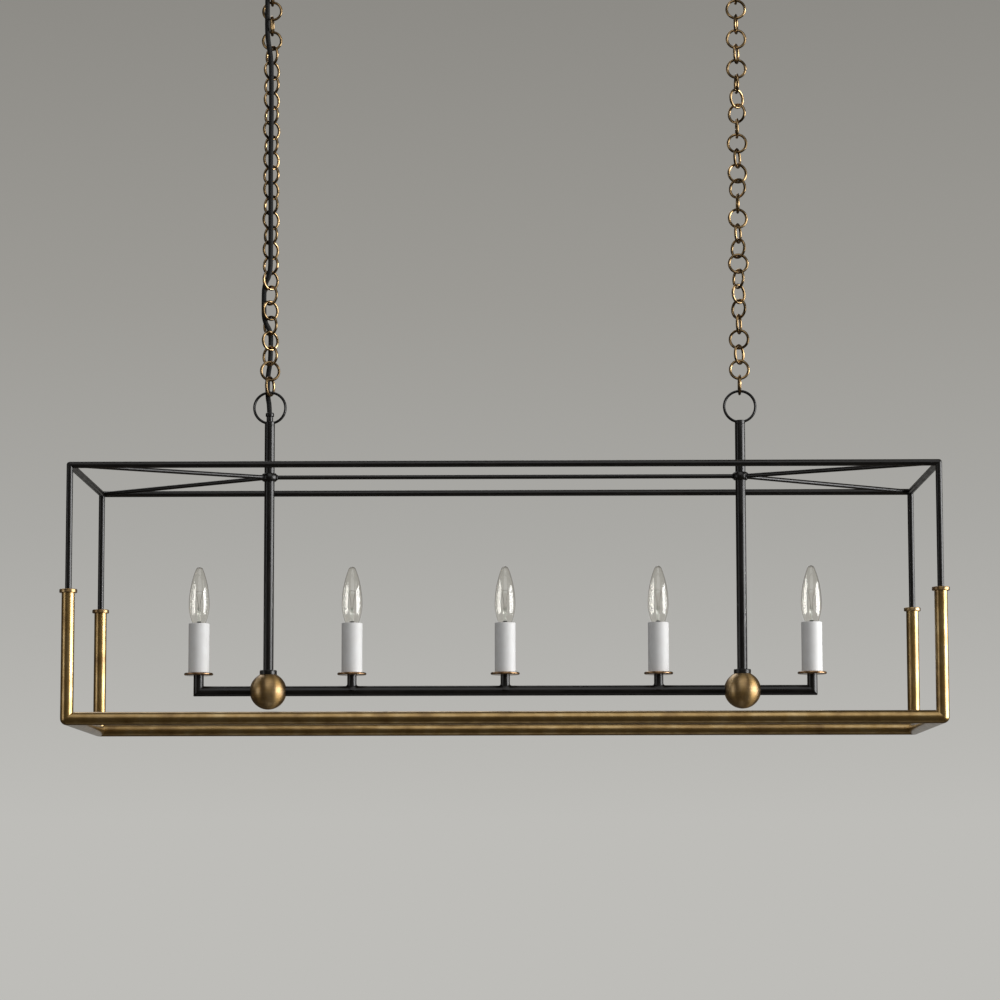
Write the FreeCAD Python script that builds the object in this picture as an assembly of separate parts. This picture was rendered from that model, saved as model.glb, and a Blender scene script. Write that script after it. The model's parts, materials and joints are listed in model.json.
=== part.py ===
import FreeCAD, Part
import math
import os
from FreeCAD import Vector

# Linear island pendant: a rectangular frame with brass lower tubes and thin black upper rods,
# five candle lights on one arm, two stems, two round-link chains and two ceiling canopies.
# All sizes are millimetres. +X runs along the length, +Z up, and the origin lies on the ceiling
# plane, midway between the two canopies.

# ---------------------------------------------------------------- driving dimensions
# Frame
frame_length = 1066.8          # outside to outside of the brass tube
frame_depth = 320.7            # outside to outside of the brass tube
frame_height = 307.0           # lower tube axis to upper rod axis
brass_tube_radius = 7.9375
brass_tube_wall = 1.2
brass_corner_reach = 14.0      # length of each leg of a brass corner, from its centre
rod_radius = 3.97
rod_corner_reach = 9.0         # length of each leg of a black corner, from its centre
post_sleeve_top = 151.5        # brass upright's top, above the lower tube axis
post_collar_radius = 10.8
collar_edge = 0.9              # rounding on the outer edges of a collar
post_collar_height = 4.6

# Stems, hubs and braces
stem_spacing = 591.0
stem_radius = 6.35
stem_wall = 1.2
hub_radius = 10.0
hub_height = 10.0
hub_flat_width = 1.6           # flat ring on the hub's top and bottom
hub_lift = 2.5                 # hub centre above the upper rod axis
brace_radius = 2.7

# Arm and balls
arm_above_tube = 41.2          # arm axis above the lower tube axis
arm_radius = 6.35
arm_wall = 1.1
ball_radius = 23.0
ball_flat_height = 20.4        # flat under the collar, above the ball's centre
ball_socket_offset = 14.0      # flat bottom of each arm socket, from the ball's centre
ball_top_socket_depth = 8.0
ball_wireway_radius = 3.5
ball_collar_radius = 10.7
ball_collar_height = 5.6

# Candles
inner_candle_spacing = 191.2
outer_candle_offset = 382.4
stub_radius = 5.8
stub_height = 13.35            # arm's upper surface to the underside of the dish
dish_radius = 18.2
dish_thickness = 3.2
dish_bore_radius = 5.0
sleeve_radius = 12.95
sleeve_wall = 1.6
sleeve_height = 61.8
holder_radius = 10.0
holder_top_drop = 2.5          # holder's top below the sleeve's top
shell_wall = 0.55
shell_top_drop = 1.0           # shell's top below the holder's top
contact_radius = 2.2
contact_height = 0.8

# Bulb, heights above the sleeve's top
bulb_radius = 13.0
bulb_widest_height = 23.0
bulb_height = 71.0
bulb_tip_radius = 4.9
bulb_neck_radius = 7.6
bulb_neck_height = -1.0
bulb_cap_radius = 5.9
bulb_cap_top = -3.0
bulb_cap_length = 17.0
bulb_cap_plain = 3.0           # length of the cap above its thread
bulb_cap_rim = 1.0             # full-width rim at the cap's top
bulb_thread_pitch = 2.54
thread_root_share = 0.2        # share of each pitch where the thread's root is flat
thread_crest_share = 0.6       # share of each pitch where the crest's curve starts
bulb_thread_depth = 0.5
bulb_tip_contact_radius = 1.9
bulb_tip_contact_height = 1.4
glass_wall = 0.7
press_radius = 1.7             # glass press that holds the filament's wires
press_height = 20.0
support_depth = 3.0            # how deep the filament's supports stand in the press
filament_height = 39.0
filament_half_span = 4.2
wire_radius = 0.3

# Hanging rings and cord bushing
hang_ring_outer_radius = 21.2
hang_ring_thickness = 3.3
hang_ring_width = 5.8
stem_above_hub = 66.0          # hub's centre below the top of the stem
hang_foot_drop = 1.0           # underside of the foot, below the ring
hang_foot_rise = 0.5           # top of the foot, above the ring's inner edge
bushing_neck_radius = 4.15
bushing_neck_height = 6.0
bushing_flange_radius = 5.3
bushing_flange_bulge = 0.8     # how far the flange's round edge swells past its flats
bushing_flange_height = 5.7

# Chains: round links, listed from the bottom up by how far each is turned from facing the front
link_radius = 11.45            # to the middle of the wire
link_wire_radius = 1.7
left_link_turns = [70, 18, -40, 42, -45, 45, -44, 45, -38, 44, -45, 40, -42, 45,
                   -36, 43, -45, 39, -44, 45, -40, 45, -50, 0, 88, -4, 90]
right_link_turns = [90, 0, 60, -12, 75, -50, 48, -62, 0, -50, 70, 15, 90, -40,
                    15, 70, 0, 90, -35, 45, -85, 0, 75, 0, 80, 0, 90]

# Ceiling side
canopy_radius = 63.5
canopy_depth = 25.0
canopy_skirt = 5.0
canopy_wall = 1.2
canopy_rim_width = 2.6
crossbar_length = 112.0
crossbar_width = 20.0
crossbar_thickness = 2.0
slot_spacing = 79.4
slot_length = 25.0
slot_half_width = 2.4
shank_radius = 4.9
shank_top_drop = 0.3           # shank's top below the ceiling plane
nut_across_flats = 15.0
nut_height = 4.0
collar_ring_radius = 13.0
collar_ring_height = 6.0
collar_ring_chamfer = 0.8
knurl_count = 30
knurl_radius = 0.7
loop_boss_radius = 6.6
loop_boss_height = 9.0
loop_boss_cover = 0.5          # how far the boss reaches past the ring's wire
loop_radius = 14.5             # to the middle of the wire
loop_wire_radius = 2.1
ground_screw_offset = 18.0
ground_screw_radius = 1.9
ground_screw_head_radius = 4.0
ground_screw_head_height = 2.4

# Cord
cord_radius = 3.1
cord_in_stem = 26.0            # how far the cord is modelled below the ring's foot

# Clearances
seat_clearance = 0.2           # round a rod, stem or shank in its hole
link_clearance = 0.15          # vertical play where one ring hangs in another
cord_clearance = 0.4           # round the cord in a bore
thread_clearance = 0.4         # radial, bulb cap in its shell
rest_clearance = 0.3           # bulb's tip above its contact
cut_margin = 1.0               # how far a cutting body passes the surface that it cuts

# ---------------------------------------------------------------- places worked out from them
left_x = -stem_spacing / 2
right_x = stem_spacing / 2
stem_places = [("left", left_x), ("right", right_x)]
corner_x = frame_length / 2 - brass_tube_radius
corner_y = frame_depth / 2 - brass_tube_radius

crossbar_bottom = -crossbar_thickness
nut_bottom = crossbar_bottom - nut_height
collar_ring_bottom = -canopy_depth - collar_ring_height
loop_boss_bottom = collar_ring_bottom - loop_boss_height
loop_boss_overlap = loop_wire_radius + loop_boss_cover
loop_z = loop_boss_bottom + loop_boss_overlap - loop_radius
loop_wire_z = loop_z - loop_radius

link_pitch = 2 * (link_radius - link_wire_radius) - link_clearance
link_count = len(left_link_turns)
top_link_z = loop_wire_z + loop_wire_radius + link_wire_radius + link_clearance - link_radius
bottom_link_z = top_link_z - (link_count - 1) * link_pitch

hang_ring_radius = hang_ring_outer_radius - hang_ring_thickness / 2
hang_ring_top_z = bottom_link_z - (link_radius - link_wire_radius) + link_clearance
hang_ring_z = hang_ring_top_z + hang_ring_thickness / 2 - hang_ring_radius
foot_top_z = hang_ring_z - hang_ring_outer_radius + hang_ring_thickness + hang_foot_rise
stem_top_z = hang_ring_z - hang_ring_outer_radius - hang_foot_drop

hub_z = stem_top_z - stem_above_hub
upper_z = hub_z - hub_lift
lower_z = upper_z - frame_height
arm_z = lower_z + arm_above_tube
dish_z = arm_z + arm_radius + stub_height
sleeve_z = dish_z + dish_thickness
sleeve_top_z = sleeve_z + sleeve_height
candle_x = [-outer_candle_offset, -inner_candle_spacing, 0.0, inner_candle_spacing,
            outer_candle_offset]

# Cord route: x and y from the left chain's axis, and the height in link pitches above the
# bottom link's centre. It leaves the stem through the ring, passes behind the lowest links,
# crosses through two links to the front, and leans left under the canopy's loop.
cord_route = [(0.0, 0.0, -1.4), (-3.6, 7.4, -0.62), (-3.6, 7.5, 0.7), (-0.6, 8.0, 1.6),
              (0.0, 8.2, 2.6), (0.0, 8.1, 3.68), (-8.1, 0.0, 4.32), (-8.4, 0.0, 5.5),
              (-8.1, 0.0, 6.68), (0.0, -8.1, 7.32), (0.5, -7.9, 8.8), (0.2, -7.9, 11.6),
              (-0.4, -7.7, 14.9), (0.3, -7.8, 18.0), (-0.1, -7.8, 20.2), (-0.3, -7.9, 21.7),
              (-5.8, -5.8, 23.2), (-5.7, -5.8, 25.2), (-5.6, -6.2, 26.65), (0.0, 0.0, 27.4)]
cord_bend_share = 0.45         # share of the shorter run that a bend uses

X = Vector(1, 0, 0)
Y = Vector(0, 1, 0)
Z = Vector(0, 0, 1)


# ---------------------------------------------------------------- helpers
def rod(radius, start, end):
    """Round bar between two points."""
    along = end - start
    return Part.makeCylinder(radius, along.Length, start, along)


def tube(radius, wall, start, end):
    """Round tube between two points."""
    return rod(radius, start, end).cut(rod(radius - wall, start, end))


def turned(outline, x, z):
    """Solid turned about a vertical axis at x, from (radius, height) points above z.

    A point with four numbers ends an arc: it gives the arc's middle and then its end.
    """
    edges = []
    last = Vector(outline[0][0], 0, outline[0][1])
    for point in outline[1:] + outline[:1]:
        end = Vector(point[-2], 0, point[-1])
        if len(point) == 4:
            edges.append(Part.Arc(last, Vector(point[0], 0, point[1]), end).toShape())
        elif (end - last).Length > 1e-6:
            edges.append(Part.makeLine(last, end))
        last = end
    solid = Part.Face(Part.Wire(edges)).revolve(Vector(0, 0, 0), Z, 360)
    solid.translate(Vector(x, 0, z))
    return solid


def ring_of_arcs(centre_r, centre_z, radius, start_deg, end_deg):
    """Middle and end of an arc about (centre_r, centre_z), as a turned outline's point."""
    middle = math.radians((start_deg + end_deg) / 2)
    end = math.radians(end_deg)
    return (centre_r + radius * math.cos(middle), centre_z + radius * math.sin(middle),
            centre_r + radius * math.cos(end), centre_z + radius * math.sin(end))


def save(name, *shapes):
    """Write one sub-part, which can hold several solids."""
    shape = shapes[0] if len(shapes) == 1 else Part.makeCompound(list(shapes))
    for solid in shape.Solids:
        if not solid.isValid():
            raise ValueError("invalid solid in " + name)
    print(name, len(shape.Solids), "solid(s),", round(shape.Volume), "mm3")
    shape.exportStep("parts/" + name + ".step")


# ---------------------------------------------------------------- ceiling side
def canopy(x):
    """Shallow spun cup with a round shoulder, a flat bottom and an inward rim at the ceiling."""
    shoulder = canopy_depth - canopy_skirt
    flat_r = canopy_radius - shoulder
    bore = shank_radius + seat_clearance
    inside = shoulder - canopy_wall
    outline = [(canopy_radius, 0), (canopy_radius, -canopy_skirt),
               ring_of_arcs(flat_r, -canopy_skirt, shoulder, 0, -90),
               (bore, -canopy_depth), (bore, canopy_wall - canopy_depth),
               (flat_r, canopy_wall - canopy_depth),
               ring_of_arcs(flat_r, -canopy_skirt, inside, -90, 0),
               (canopy_radius - canopy_wall, -canopy_wall),
               (canopy_radius - canopy_rim_width, -canopy_wall),
               (canopy_radius - canopy_rim_width, 0)]
    return turned(outline, x, 0)


def crossbar(x):
    """Flat strap on the ceiling box, with a slot at each end and a hole for the loop's shank."""
    strap = Part.makeBox(crossbar_length, crossbar_width, crossbar_thickness,
                         Vector(x - crossbar_length / 2, -crossbar_width / 2, crossbar_bottom))
    low = Vector(0, 0, crossbar_bottom)
    high = Vector(0, 0, 0)
    centre = Vector(x, 0, 0)
    strap = strap.cut(rod(shank_radius + seat_clearance, centre + low, centre + high))
    screw = Vector(x + ground_screw_offset, 0, 0)
    strap = strap.cut(rod(ground_screw_radius + seat_clearance, screw + low, screw + high))
    straight = slot_length - 2 * slot_half_width
    for side in (-1, 1):
        middle = Vector(x + side * slot_spacing / 2, 0, 0)
        for end in (-1, 1):
            at = middle + Vector(end * straight / 2, 0, 0)
            strap = strap.cut(rod(slot_half_width, at + low, at + high))
        corner = middle + low - Vector(straight / 2, slot_half_width, 0)
        strap = strap.cut(Part.makeBox(straight, 2 * slot_half_width, crossbar_thickness, corner))
    return strap


def ground_screw(x):
    """Pan-head screw in the crossbar."""
    at = Vector(x + ground_screw_offset, 0, 0)
    shank = rod(ground_screw_radius, at + Vector(0, 0, crossbar_bottom), at)
    head = rod(ground_screw_head_radius, at + Vector(0, 0, crossbar_bottom),
               at + Vector(0, 0, crossbar_bottom - ground_screw_head_height))
    return shank.fuse(head).removeSplitter()


def nut(x):
    """Hexagon nut under the crossbar."""
    corner = nut_across_flats / 2 / math.cos(math.radians(30))
    points = []
    for k in range(7):
        angle = math.radians(60 * k)
        points.append(Vector(x + corner * math.cos(angle), corner * math.sin(angle), nut_bottom))
    body = Part.Face(Part.makePolygon(points)).extrude(Vector(0, 0, nut_height))
    bore = rod(shank_radius + seat_clearance, Vector(x, 0, nut_bottom),
               Vector(x, 0, crossbar_bottom))
    return body.cut(bore)


def collar_ring(x):
    """Knurled ring that holds the canopy up on the loop's shank."""
    bore = shank_radius + seat_clearance
    chamfer = collar_ring_chamfer
    outline = [(bore, 0), (collar_ring_radius - chamfer, 0), (collar_ring_radius, chamfer),
               (collar_ring_radius, collar_ring_height - chamfer),
               (collar_ring_radius - chamfer, collar_ring_height), (bore, collar_ring_height)]
    ring = turned(outline, x, collar_ring_bottom)
    grooves = []
    for k in range(knurl_count):
        angle = 2 * math.pi * k / knurl_count
        at = Vector(x + (collar_ring_radius + knurl_radius / 3) * math.cos(angle),
                    (collar_ring_radius + knurl_radius / 3) * math.sin(angle),
                    collar_ring_bottom)
        grooves.append(rod(knurl_radius, at, at + Vector(0, 0, collar_ring_height)))
    return ring.cut(grooves)


def canopy_loop(x):
    """Threaded shank, boss and round ring in one piece, bored through for the cord."""
    ring = Part.makeTorus(loop_radius, loop_wire_radius, Vector(x, 0, loop_z), Y)
    shank = rod(shank_radius, Vector(x, 0, collar_ring_bottom), Vector(x, 0, -shank_top_drop))
    boss = rod(loop_boss_radius, Vector(x, 0, loop_boss_bottom), Vector(x, 0, collar_ring_bottom))
    bore = rod(cord_radius + cord_clearance, Vector(x, 0, loop_z), Vector(x, 0, 0))
    return ring.fuse([boss, shank]).cut(bore)


# ---------------------------------------------------------------- chains and cord
def link(x, index, turn):
    """One round link, turned about its vertical axis by turn degrees from facing the front."""
    facing = Vector(-math.sin(math.radians(turn)), math.cos(math.radians(turn)), 0)
    return Part.makeTorus(link_radius, link_wire_radius,
                          Vector(x, 0, bottom_link_z + index * link_pitch), facing)


def cord_path():
    """Straight runs joined by tangent arcs, from inside the left stem up to the ceiling."""
    points = [Vector(left_x, 0, stem_top_z - cord_in_stem)]
    for x, y, height in cord_route:
        points.append(Vector(left_x + x, y, bottom_link_z + height * link_pitch))
    points.append(Vector(left_x, 0, -shank_top_drop))
    edges = []
    last = points[0]
    for before, point, after in zip(points, points[1:], points[2:]):
        back = before - point
        ahead = after - point
        cut = cord_bend_share * min(back.Length, ahead.Length)
        back.normalize()
        ahead.normalize()
        half_turn = (math.pi - back.getAngle(ahead)) / 2
        bend = cut / math.tan(half_turn)
        towards = (back + ahead).normalize()
        middle = point + towards * (bend / math.cos(half_turn) - bend)
        start = point + back * cut
        end = point + ahead * cut
        print("cord bend radius", round(bend, 1), "mm, turn", round(math.degrees(2 * half_turn), 1))
        edges.append(Part.LineSegment(last, start).toShape())
        edges.append(Part.Arc(start, middle, end).toShape())
        last = end
    edges.append(Part.LineSegment(last, points[-1]).toShape())
    return Part.Wire(edges)


def supply_cord():
    """The whole cord as one round tube along its path."""
    path = cord_path()
    start = path.Edges[0].Vertexes[0].Point
    section = Part.Wire([Part.makeCircle(cord_radius, start, Z)])
    solid = Part.Solid(path.makePipeShell([section], True, False, 0))
    expected = math.pi * cord_radius ** 2 * path.Length
    print("cord length", round(path.Length, 1), "mm, volume", round(solid.Volume),
          "against section times length", round(expected))
    return solid


# ---------------------------------------------------------------- hanging rings and stems
def hang_ring(x, bored):
    """Flat-sided ring on a short foot that stands on the stem's top."""
    half_width = hang_ring_width / 2
    half_thickness = hang_ring_thickness / 2
    oval = Part.Ellipse(Vector(hang_ring_radius, half_width, 0),
                        Vector(hang_ring_radius + half_thickness, 0, 0),
                        Vector(hang_ring_radius, 0, 0))
    ring = Part.Face(Part.Wire([oval.toShape()])).revolve(Vector(0, 0, 0), Y, 360)
    ring.translate(Vector(x, 0, hang_ring_z))
    foot = rod(stem_radius, Vector(x, 0, stem_top_z), Vector(x, 0, foot_top_z))
    piece = ring.fuse(foot)
    if bored:
        piece = piece.cut(rod(cord_radius + cord_clearance, Vector(x, 0, stem_top_z),
                              Vector(x, 0, foot_top_z)))
    return piece


def cord_bushing(x):
    """Narrow neck and rounded flange round the cord, inside the left ring."""
    bore = cord_radius + cord_clearance
    edge = bushing_flange_height / 2
    middle = bushing_neck_height + edge
    outline = [(bore, 0), (bushing_neck_radius, 0), (bushing_neck_radius, bushing_neck_height),
               (bushing_flange_radius - bushing_flange_bulge, bushing_neck_height),
               (bushing_flange_radius, middle, bushing_flange_radius - bushing_flange_bulge,
                middle + edge),
               (bore, middle + edge)]
    return turned(outline, x, foot_top_z)


def stem(x):
    """Tube from the ring's foot down through the hub and the collar into the ball."""
    bottom = arm_z + ball_flat_height - ball_top_socket_depth
    return tube(stem_radius, stem_wall, Vector(x, 0, bottom), Vector(x, 0, stem_top_z))


def hub(x):
    """Rounded bead round the stem, where the tie bar and two braces meet."""
    bore = stem_radius + seat_clearance
    flat = bore + hub_flat_width
    half = hub_height / 2
    outline = [(bore, -half), (flat, -half), (hub_radius, 0, flat, half), (bore, half)]
    return turned(outline, x, hub_z)


def hub_clearance(x):
    """Space that the ends of the tie bar and braces leave round a hub."""
    return rod(hub_radius + seat_clearance, Vector(x, 0, hub_z - hub_height),
               Vector(x, 0, hub_z + hub_height))


def tie_bar():
    """Thin bar between the two hubs."""
    bar = rod(brace_radius, Vector(left_x, 0, hub_z), Vector(right_x, 0, hub_z))
    return bar.cut([hub_clearance(left_x), hub_clearance(right_x)])


def brace(x, side_y):
    """Thin diagonal from a hub to one upper corner at its end of the frame."""
    corner = Vector(math.copysign(corner_x, x), side_y * corner_y, upper_z)
    bar = rod(brace_radius, Vector(x, 0, hub_z), corner)
    gap = rod_radius + seat_clearance
    away = 4 * rod_corner_reach
    along_x = rod(gap, corner - Vector(math.copysign(away, x), 0, 0), corner)
    along_y = rod(gap, corner - Vector(0, side_y * away, 0), corner)
    return bar.cut([hub_clearance(x), along_x, along_y, Part.makeSphere(gap, corner)])


# ---------------------------------------------------------------- frame
def corner_piece(radius, reach, x, y, z, leg_z):
    """Three legs that meet in a rounded corner; leg_z is +1 or -1 for the upright leg."""
    centre = Vector(x, y, z)
    ball = Part.makeSphere(radius, centre)
    legs = [rod(radius, centre, centre - X * math.copysign(reach, x)),
            rod(radius, centre, centre - Y * math.copysign(reach, y)),
            rod(radius, centre, centre + Z * (leg_z * reach))]
    return ball.fuse(legs)


def frame_corners():
    """The four (x, y) places of the frame's uprights."""
    return [(sx * corner_x, sy * corner_y) for sx in (-1, 1) for sy in (-1, 1)]


def rails(make, z, reach):
    """Front rail, back rail, and the two end rails together, between the corner pieces."""
    sides = []
    for y in (-corner_y, corner_y):
        sides.append(make(Vector(reach - corner_x, y, z), Vector(corner_x - reach, y, z)))
    ends = []
    for x in (-corner_x, corner_x):
        ends.append(make(Vector(x, reach - corner_y, z), Vector(x, corner_y - reach, z)))
    return sides[0], sides[1], Part.makeCompound(ends)


def black_rod(start, end):
    return rod(rod_radius, start, end)


def brass_tube(start, end):
    return tube(brass_tube_radius, brass_tube_wall, start, end)


def post_sleeve(x, y):
    """Brass upright between the lower corner and its collar."""
    return brass_tube(Vector(x, y, lower_z + brass_corner_reach),
                      Vector(x, y, lower_z + post_sleeve_top))


def post_rod(x, y):
    """Black upright from the collar to the upper corner."""
    return black_rod(Vector(x, y, lower_z + post_sleeve_top),
                     Vector(x, y, upper_z - rod_corner_reach))


def post_collar(x, y):
    """Flanged brass collar on the brass upright, round the black rod."""
    bore = rod_radius + seat_clearance
    edge = collar_edge
    top = post_collar_height
    outline = [(bore, 0), (post_collar_radius - edge, 0),
               ring_of_arcs(post_collar_radius - edge, edge, edge, -90, 0),
               (post_collar_radius, top - edge),
               ring_of_arcs(post_collar_radius - edge, top - edge, edge, 0, 90),
               (bore, top)]
    collar = turned(outline, x, lower_z + post_sleeve_top)
    collar.translate(Vector(0, y, 0))
    return collar


# ---------------------------------------------------------------- arm and balls
def ball(x):
    """Brass ball with a socket for each arm, one for the stem, and wireways between them."""
    centre = Vector(x, 0, arm_z)
    body = Part.makeSphere(ball_radius, centre)
    far = ball_radius + cut_margin
    top = rod(ball_radius, centre + Z * ball_flat_height, centre + Z * far)
    socket_r = arm_radius + seat_clearance
    cuts = [top, rod(ball_wireway_radius, centre - X * far, centre + X * far),
            rod(ball_wireway_radius, centre, centre + Z * far),
            rod(socket_r, centre + X * ball_socket_offset, centre + X * far),
            rod(socket_r, centre - X * ball_socket_offset, centre - X * far),
            rod(stem_radius + seat_clearance,
                centre + Z * (ball_flat_height - ball_top_socket_depth), centre + Z * far)]
    return body.cut(cuts)


def ball_collar(x):
    """Black collar on the ball's flat, round the stem."""
    bore = stem_radius + seat_clearance
    edge = collar_edge
    top = ball_collar_height
    outline = [(bore, 0), (ball_collar_radius, 0), (ball_collar_radius, top - edge),
               ring_of_arcs(ball_collar_radius - edge, top - edge, edge, 0, 90), (bore, top)]
    return turned(outline, x, arm_z + ball_flat_height)


def centre_arm():
    """Tube between the balls with a short upright stub under each of the three middle candles."""
    start = Vector(left_x + ball_socket_offset, 0, arm_z)
    end = Vector(right_x - ball_socket_offset, 0, arm_z)
    outside = rod(arm_radius, start, end)
    inside = rod(arm_radius - arm_wall, start, end)
    for x in candle_x[1:-1]:
        foot = Vector(x, 0, arm_z)
        top = Vector(x, 0, dish_z)
        outside = outside.fuse(rod(stub_radius, foot, top))
        inside = inside.fuse(rod(stub_radius - arm_wall, foot, top))
    return outside.cut(inside)


def bent_bar(radius, points):
    """Round bar along straight lines with mitred corners."""
    path = Part.makePolygon(points)
    section = Part.Wire([Part.makeCircle(radius, points[0], points[1] - points[0])])
    return Part.Solid(path.makePipeShell([section], True, False, 1))


def end_arm(x, candle):
    """Tube from a ball outwards, mitred upwards under the outer candle."""
    outward = math.copysign(1, x)
    points = [Vector(x + outward * ball_socket_offset, 0, arm_z), Vector(candle, 0, arm_z),
              Vector(candle, 0, dish_z)]
    return bent_bar(arm_radius, points).cut(bent_bar(arm_radius - arm_wall, points))


# ---------------------------------------------------------------- candles
def dish(x):
    """Brass drip dish with a round edge, under the candle sleeve."""
    edge = dish_thickness / 2
    rim = dish_radius - edge
    outline = [(dish_bore_radius, 0), (rim, 0), ring_of_arcs(rim, edge, edge, -90, 90),
               (dish_bore_radius, dish_thickness)]
    return turned(outline, x, dish_z)


def candle_sleeve(x):
    """White tube that stands on the dish and hides the lampholder."""
    return tube(sleeve_radius, sleeve_wall, Vector(x, 0, sleeve_z), Vector(x, 0, sleeve_top_z))


holder_top_z = sleeve_top_z - holder_top_drop
cap_bottom_z = sleeve_top_z + bulb_cap_top - bulb_cap_length
contact_top_z = cap_bottom_z - bulb_tip_contact_height - rest_clearance
shell_bottom_z = contact_top_z - contact_height
shell_top_z = holder_top_z - shell_top_drop
shell_inner_radius = bulb_cap_radius + thread_clearance
shell_radius = shell_inner_radius + shell_wall


def lamp_holder(x):
    """Insulating lampholder body, bored for the threaded shell."""
    body = rod(holder_radius, Vector(x, 0, sleeve_z), Vector(x, 0, holder_top_z))
    bore = rod(shell_radius + seat_clearance, Vector(x, 0, shell_bottom_z - shell_wall),
               Vector(x, 0, holder_top_z))
    return body.cut(bore)


def holder_shell(x):
    """Metal cup that takes the bulb's cap, with the raised contact at its bottom."""
    cup = rod(shell_radius, Vector(x, 0, shell_bottom_z - shell_wall), Vector(x, 0, shell_top_z))
    hollow = rod(shell_inner_radius, Vector(x, 0, shell_bottom_z), Vector(x, 0, shell_top_z))
    contact = rod(contact_radius, Vector(x, 0, shell_bottom_z - shell_wall),
                  Vector(x, 0, contact_top_z))
    return cup.cut(hollow).fuse(contact).removeSplitter()


def bulb_outline(inset):
    """Pointed-oval outline from the neck to the tip, inset by the glass wall for the inside."""
    reach = bulb_height - bulb_tip_radius - bulb_widest_height
    side = ((bulb_radius ** 2 + reach ** 2 - bulb_tip_radius ** 2)
            / 2 / (bulb_radius - bulb_tip_radius))
    rise = bulb_widest_height - bulb_neck_height
    swell = bulb_radius - bulb_neck_radius
    lower = (swell ** 2 + rise ** 2) / 2 / swell
    meet = math.degrees(math.atan2(reach, side - bulb_radius))
    neck = -math.degrees(math.asin(rise / lower))
    lower_start = (bulb_radius - lower + (lower - inset) * math.cos(math.radians(neck)),
                   bulb_widest_height + (lower - inset) * math.sin(math.radians(neck)))
    return [(bulb_cap_radius - inset, bulb_cap_top), lower_start,
            ring_of_arcs(bulb_radius - lower, bulb_widest_height, lower - inset, neck, 0),
            ring_of_arcs(bulb_radius - side, bulb_widest_height, side - inset, 0, meet),
            ring_of_arcs(0, bulb_height - bulb_tip_radius, bulb_tip_radius - inset, meet, 90)]


def bulb_glass(x):
    """Clear envelope, open at the neck where it meets the cap."""
    solids = []
    for inset in (0, glass_wall):
        solids.append(turned(bulb_outline(inset) + [(0, bulb_cap_top)], x, sleeve_top_z))
    return solids[0].cut(solids[1])


def bulb_cap(x):
    """Screw cap with its thread as rings, and the tip contact."""
    root = bulb_cap_radius - bulb_thread_depth
    outline = [(0, 0), (bulb_tip_contact_radius, 0),
               (bulb_tip_contact_radius, bulb_tip_contact_height),
               (root, bulb_tip_contact_height)]
    foot = bulb_tip_contact_height
    turns = int((bulb_cap_length - bulb_cap_plain) / bulb_thread_pitch)
    for k in range(turns):
        low = foot + k * bulb_thread_pitch
        outline += [(root, low + thread_root_share * bulb_thread_pitch),
                    (bulb_cap_radius, low + thread_crest_share * bulb_thread_pitch,
                     root, low + bulb_thread_pitch)]
    top = foot + bulb_cap_length
    outline += [(root, top - bulb_cap_plain / 2), (bulb_cap_radius, top - bulb_cap_rim),
                (bulb_cap_radius, top), (0, top)]
    return turned(outline, x, cap_bottom_z - bulb_tip_contact_height)


def bulb_mount(x):
    """Glass press on the cap with two supports and the filament between them."""
    base = bulb_cap_top
    flare = bulb_cap_radius - glass_wall - rest_clearance
    press = turned([(0, base), (flare, base), (press_radius, base + flare),
                    (press_radius, press_height), (0, press_height)], x, sleeve_top_z)
    foot = Vector(x, 0, sleeve_top_z + press_height - support_depth)
    tips = []
    supports = []
    for side in (-1, 1):
        tip = Vector(x + side * filament_half_span, 0, sleeve_top_z + filament_height)
        tips.append(tip)
        supports.append(rod(wire_radius, foot + X * (side * press_radius / 2), tip))
    filament = rod(wire_radius, tips[0], tips[1])
    ends = [Part.makeSphere(wire_radius, tip) for tip in tips]
    return press.fuse(supports + [filament] + ends)


# ---------------------------------------------------------------- build
def build_ceiling_side():
    for side, x in stem_places:
        save("canopy_" + side, canopy(x))
        save("canopy_loop_" + side, canopy_loop(x))
    save("crossbars", crossbar(left_x), crossbar(right_x))
    save("crossbar_hardware", nut(left_x), nut(right_x), ground_screw(left_x),
         ground_screw(right_x))
    save("collar_rings", collar_ring(left_x), collar_ring(right_x))


def build_chains():
    for side, x, turns in (("left", left_x, left_link_turns),
                           ("right", right_x, right_link_turns)):
        links = [link(x, index, turn) for index, turn in enumerate(turns)]
        save("bottom_link_" + side, links[0])
        save("chain_" + side, *links[1:-1])
        save("top_link_" + side, links[-1])
    save("supply_cord", supply_cord())


def build_stems():
    for side, x in stem_places:
        save("hang_ring_" + side, hang_ring(x, side == "left"))
        save("stem_" + side, stem(x))
    save("cord_bushing", cord_bushing(left_x))
    save("brace_hubs", hub(left_x), hub(right_x))
    save("tie_bar", tie_bar())
    save("braces", *[brace(x, side_y) for _, x in stem_places for side_y in (-1, 1)])


def build_frame():
    front, back, ends = rails(black_rod, upper_z, rod_corner_reach)
    save("top_rail_front", front)
    save("top_rail_back", back)
    save("top_rail_ends", ends)
    front, back, ends = rails(brass_tube, lower_z, brass_corner_reach)
    save("bottom_rail_front", front)
    save("bottom_rail_back", back)
    save("bottom_rail_ends", ends)
    places = frame_corners()
    save("top_corners", *[corner_piece(rod_radius, rod_corner_reach, x, y, upper_z, -1)
                          for x, y in places])
    save("bottom_corners", *[corner_piece(brass_tube_radius, brass_corner_reach, x, y, lower_z, 1)
                             for x, y in places])
    save("post_rods", *[post_rod(x, y) for x, y in places])
    save("post_collars", *[post_collar(x, y) for x, y in places])
    save("post_sleeves", *[post_sleeve(x, y) for x, y in places])


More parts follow.
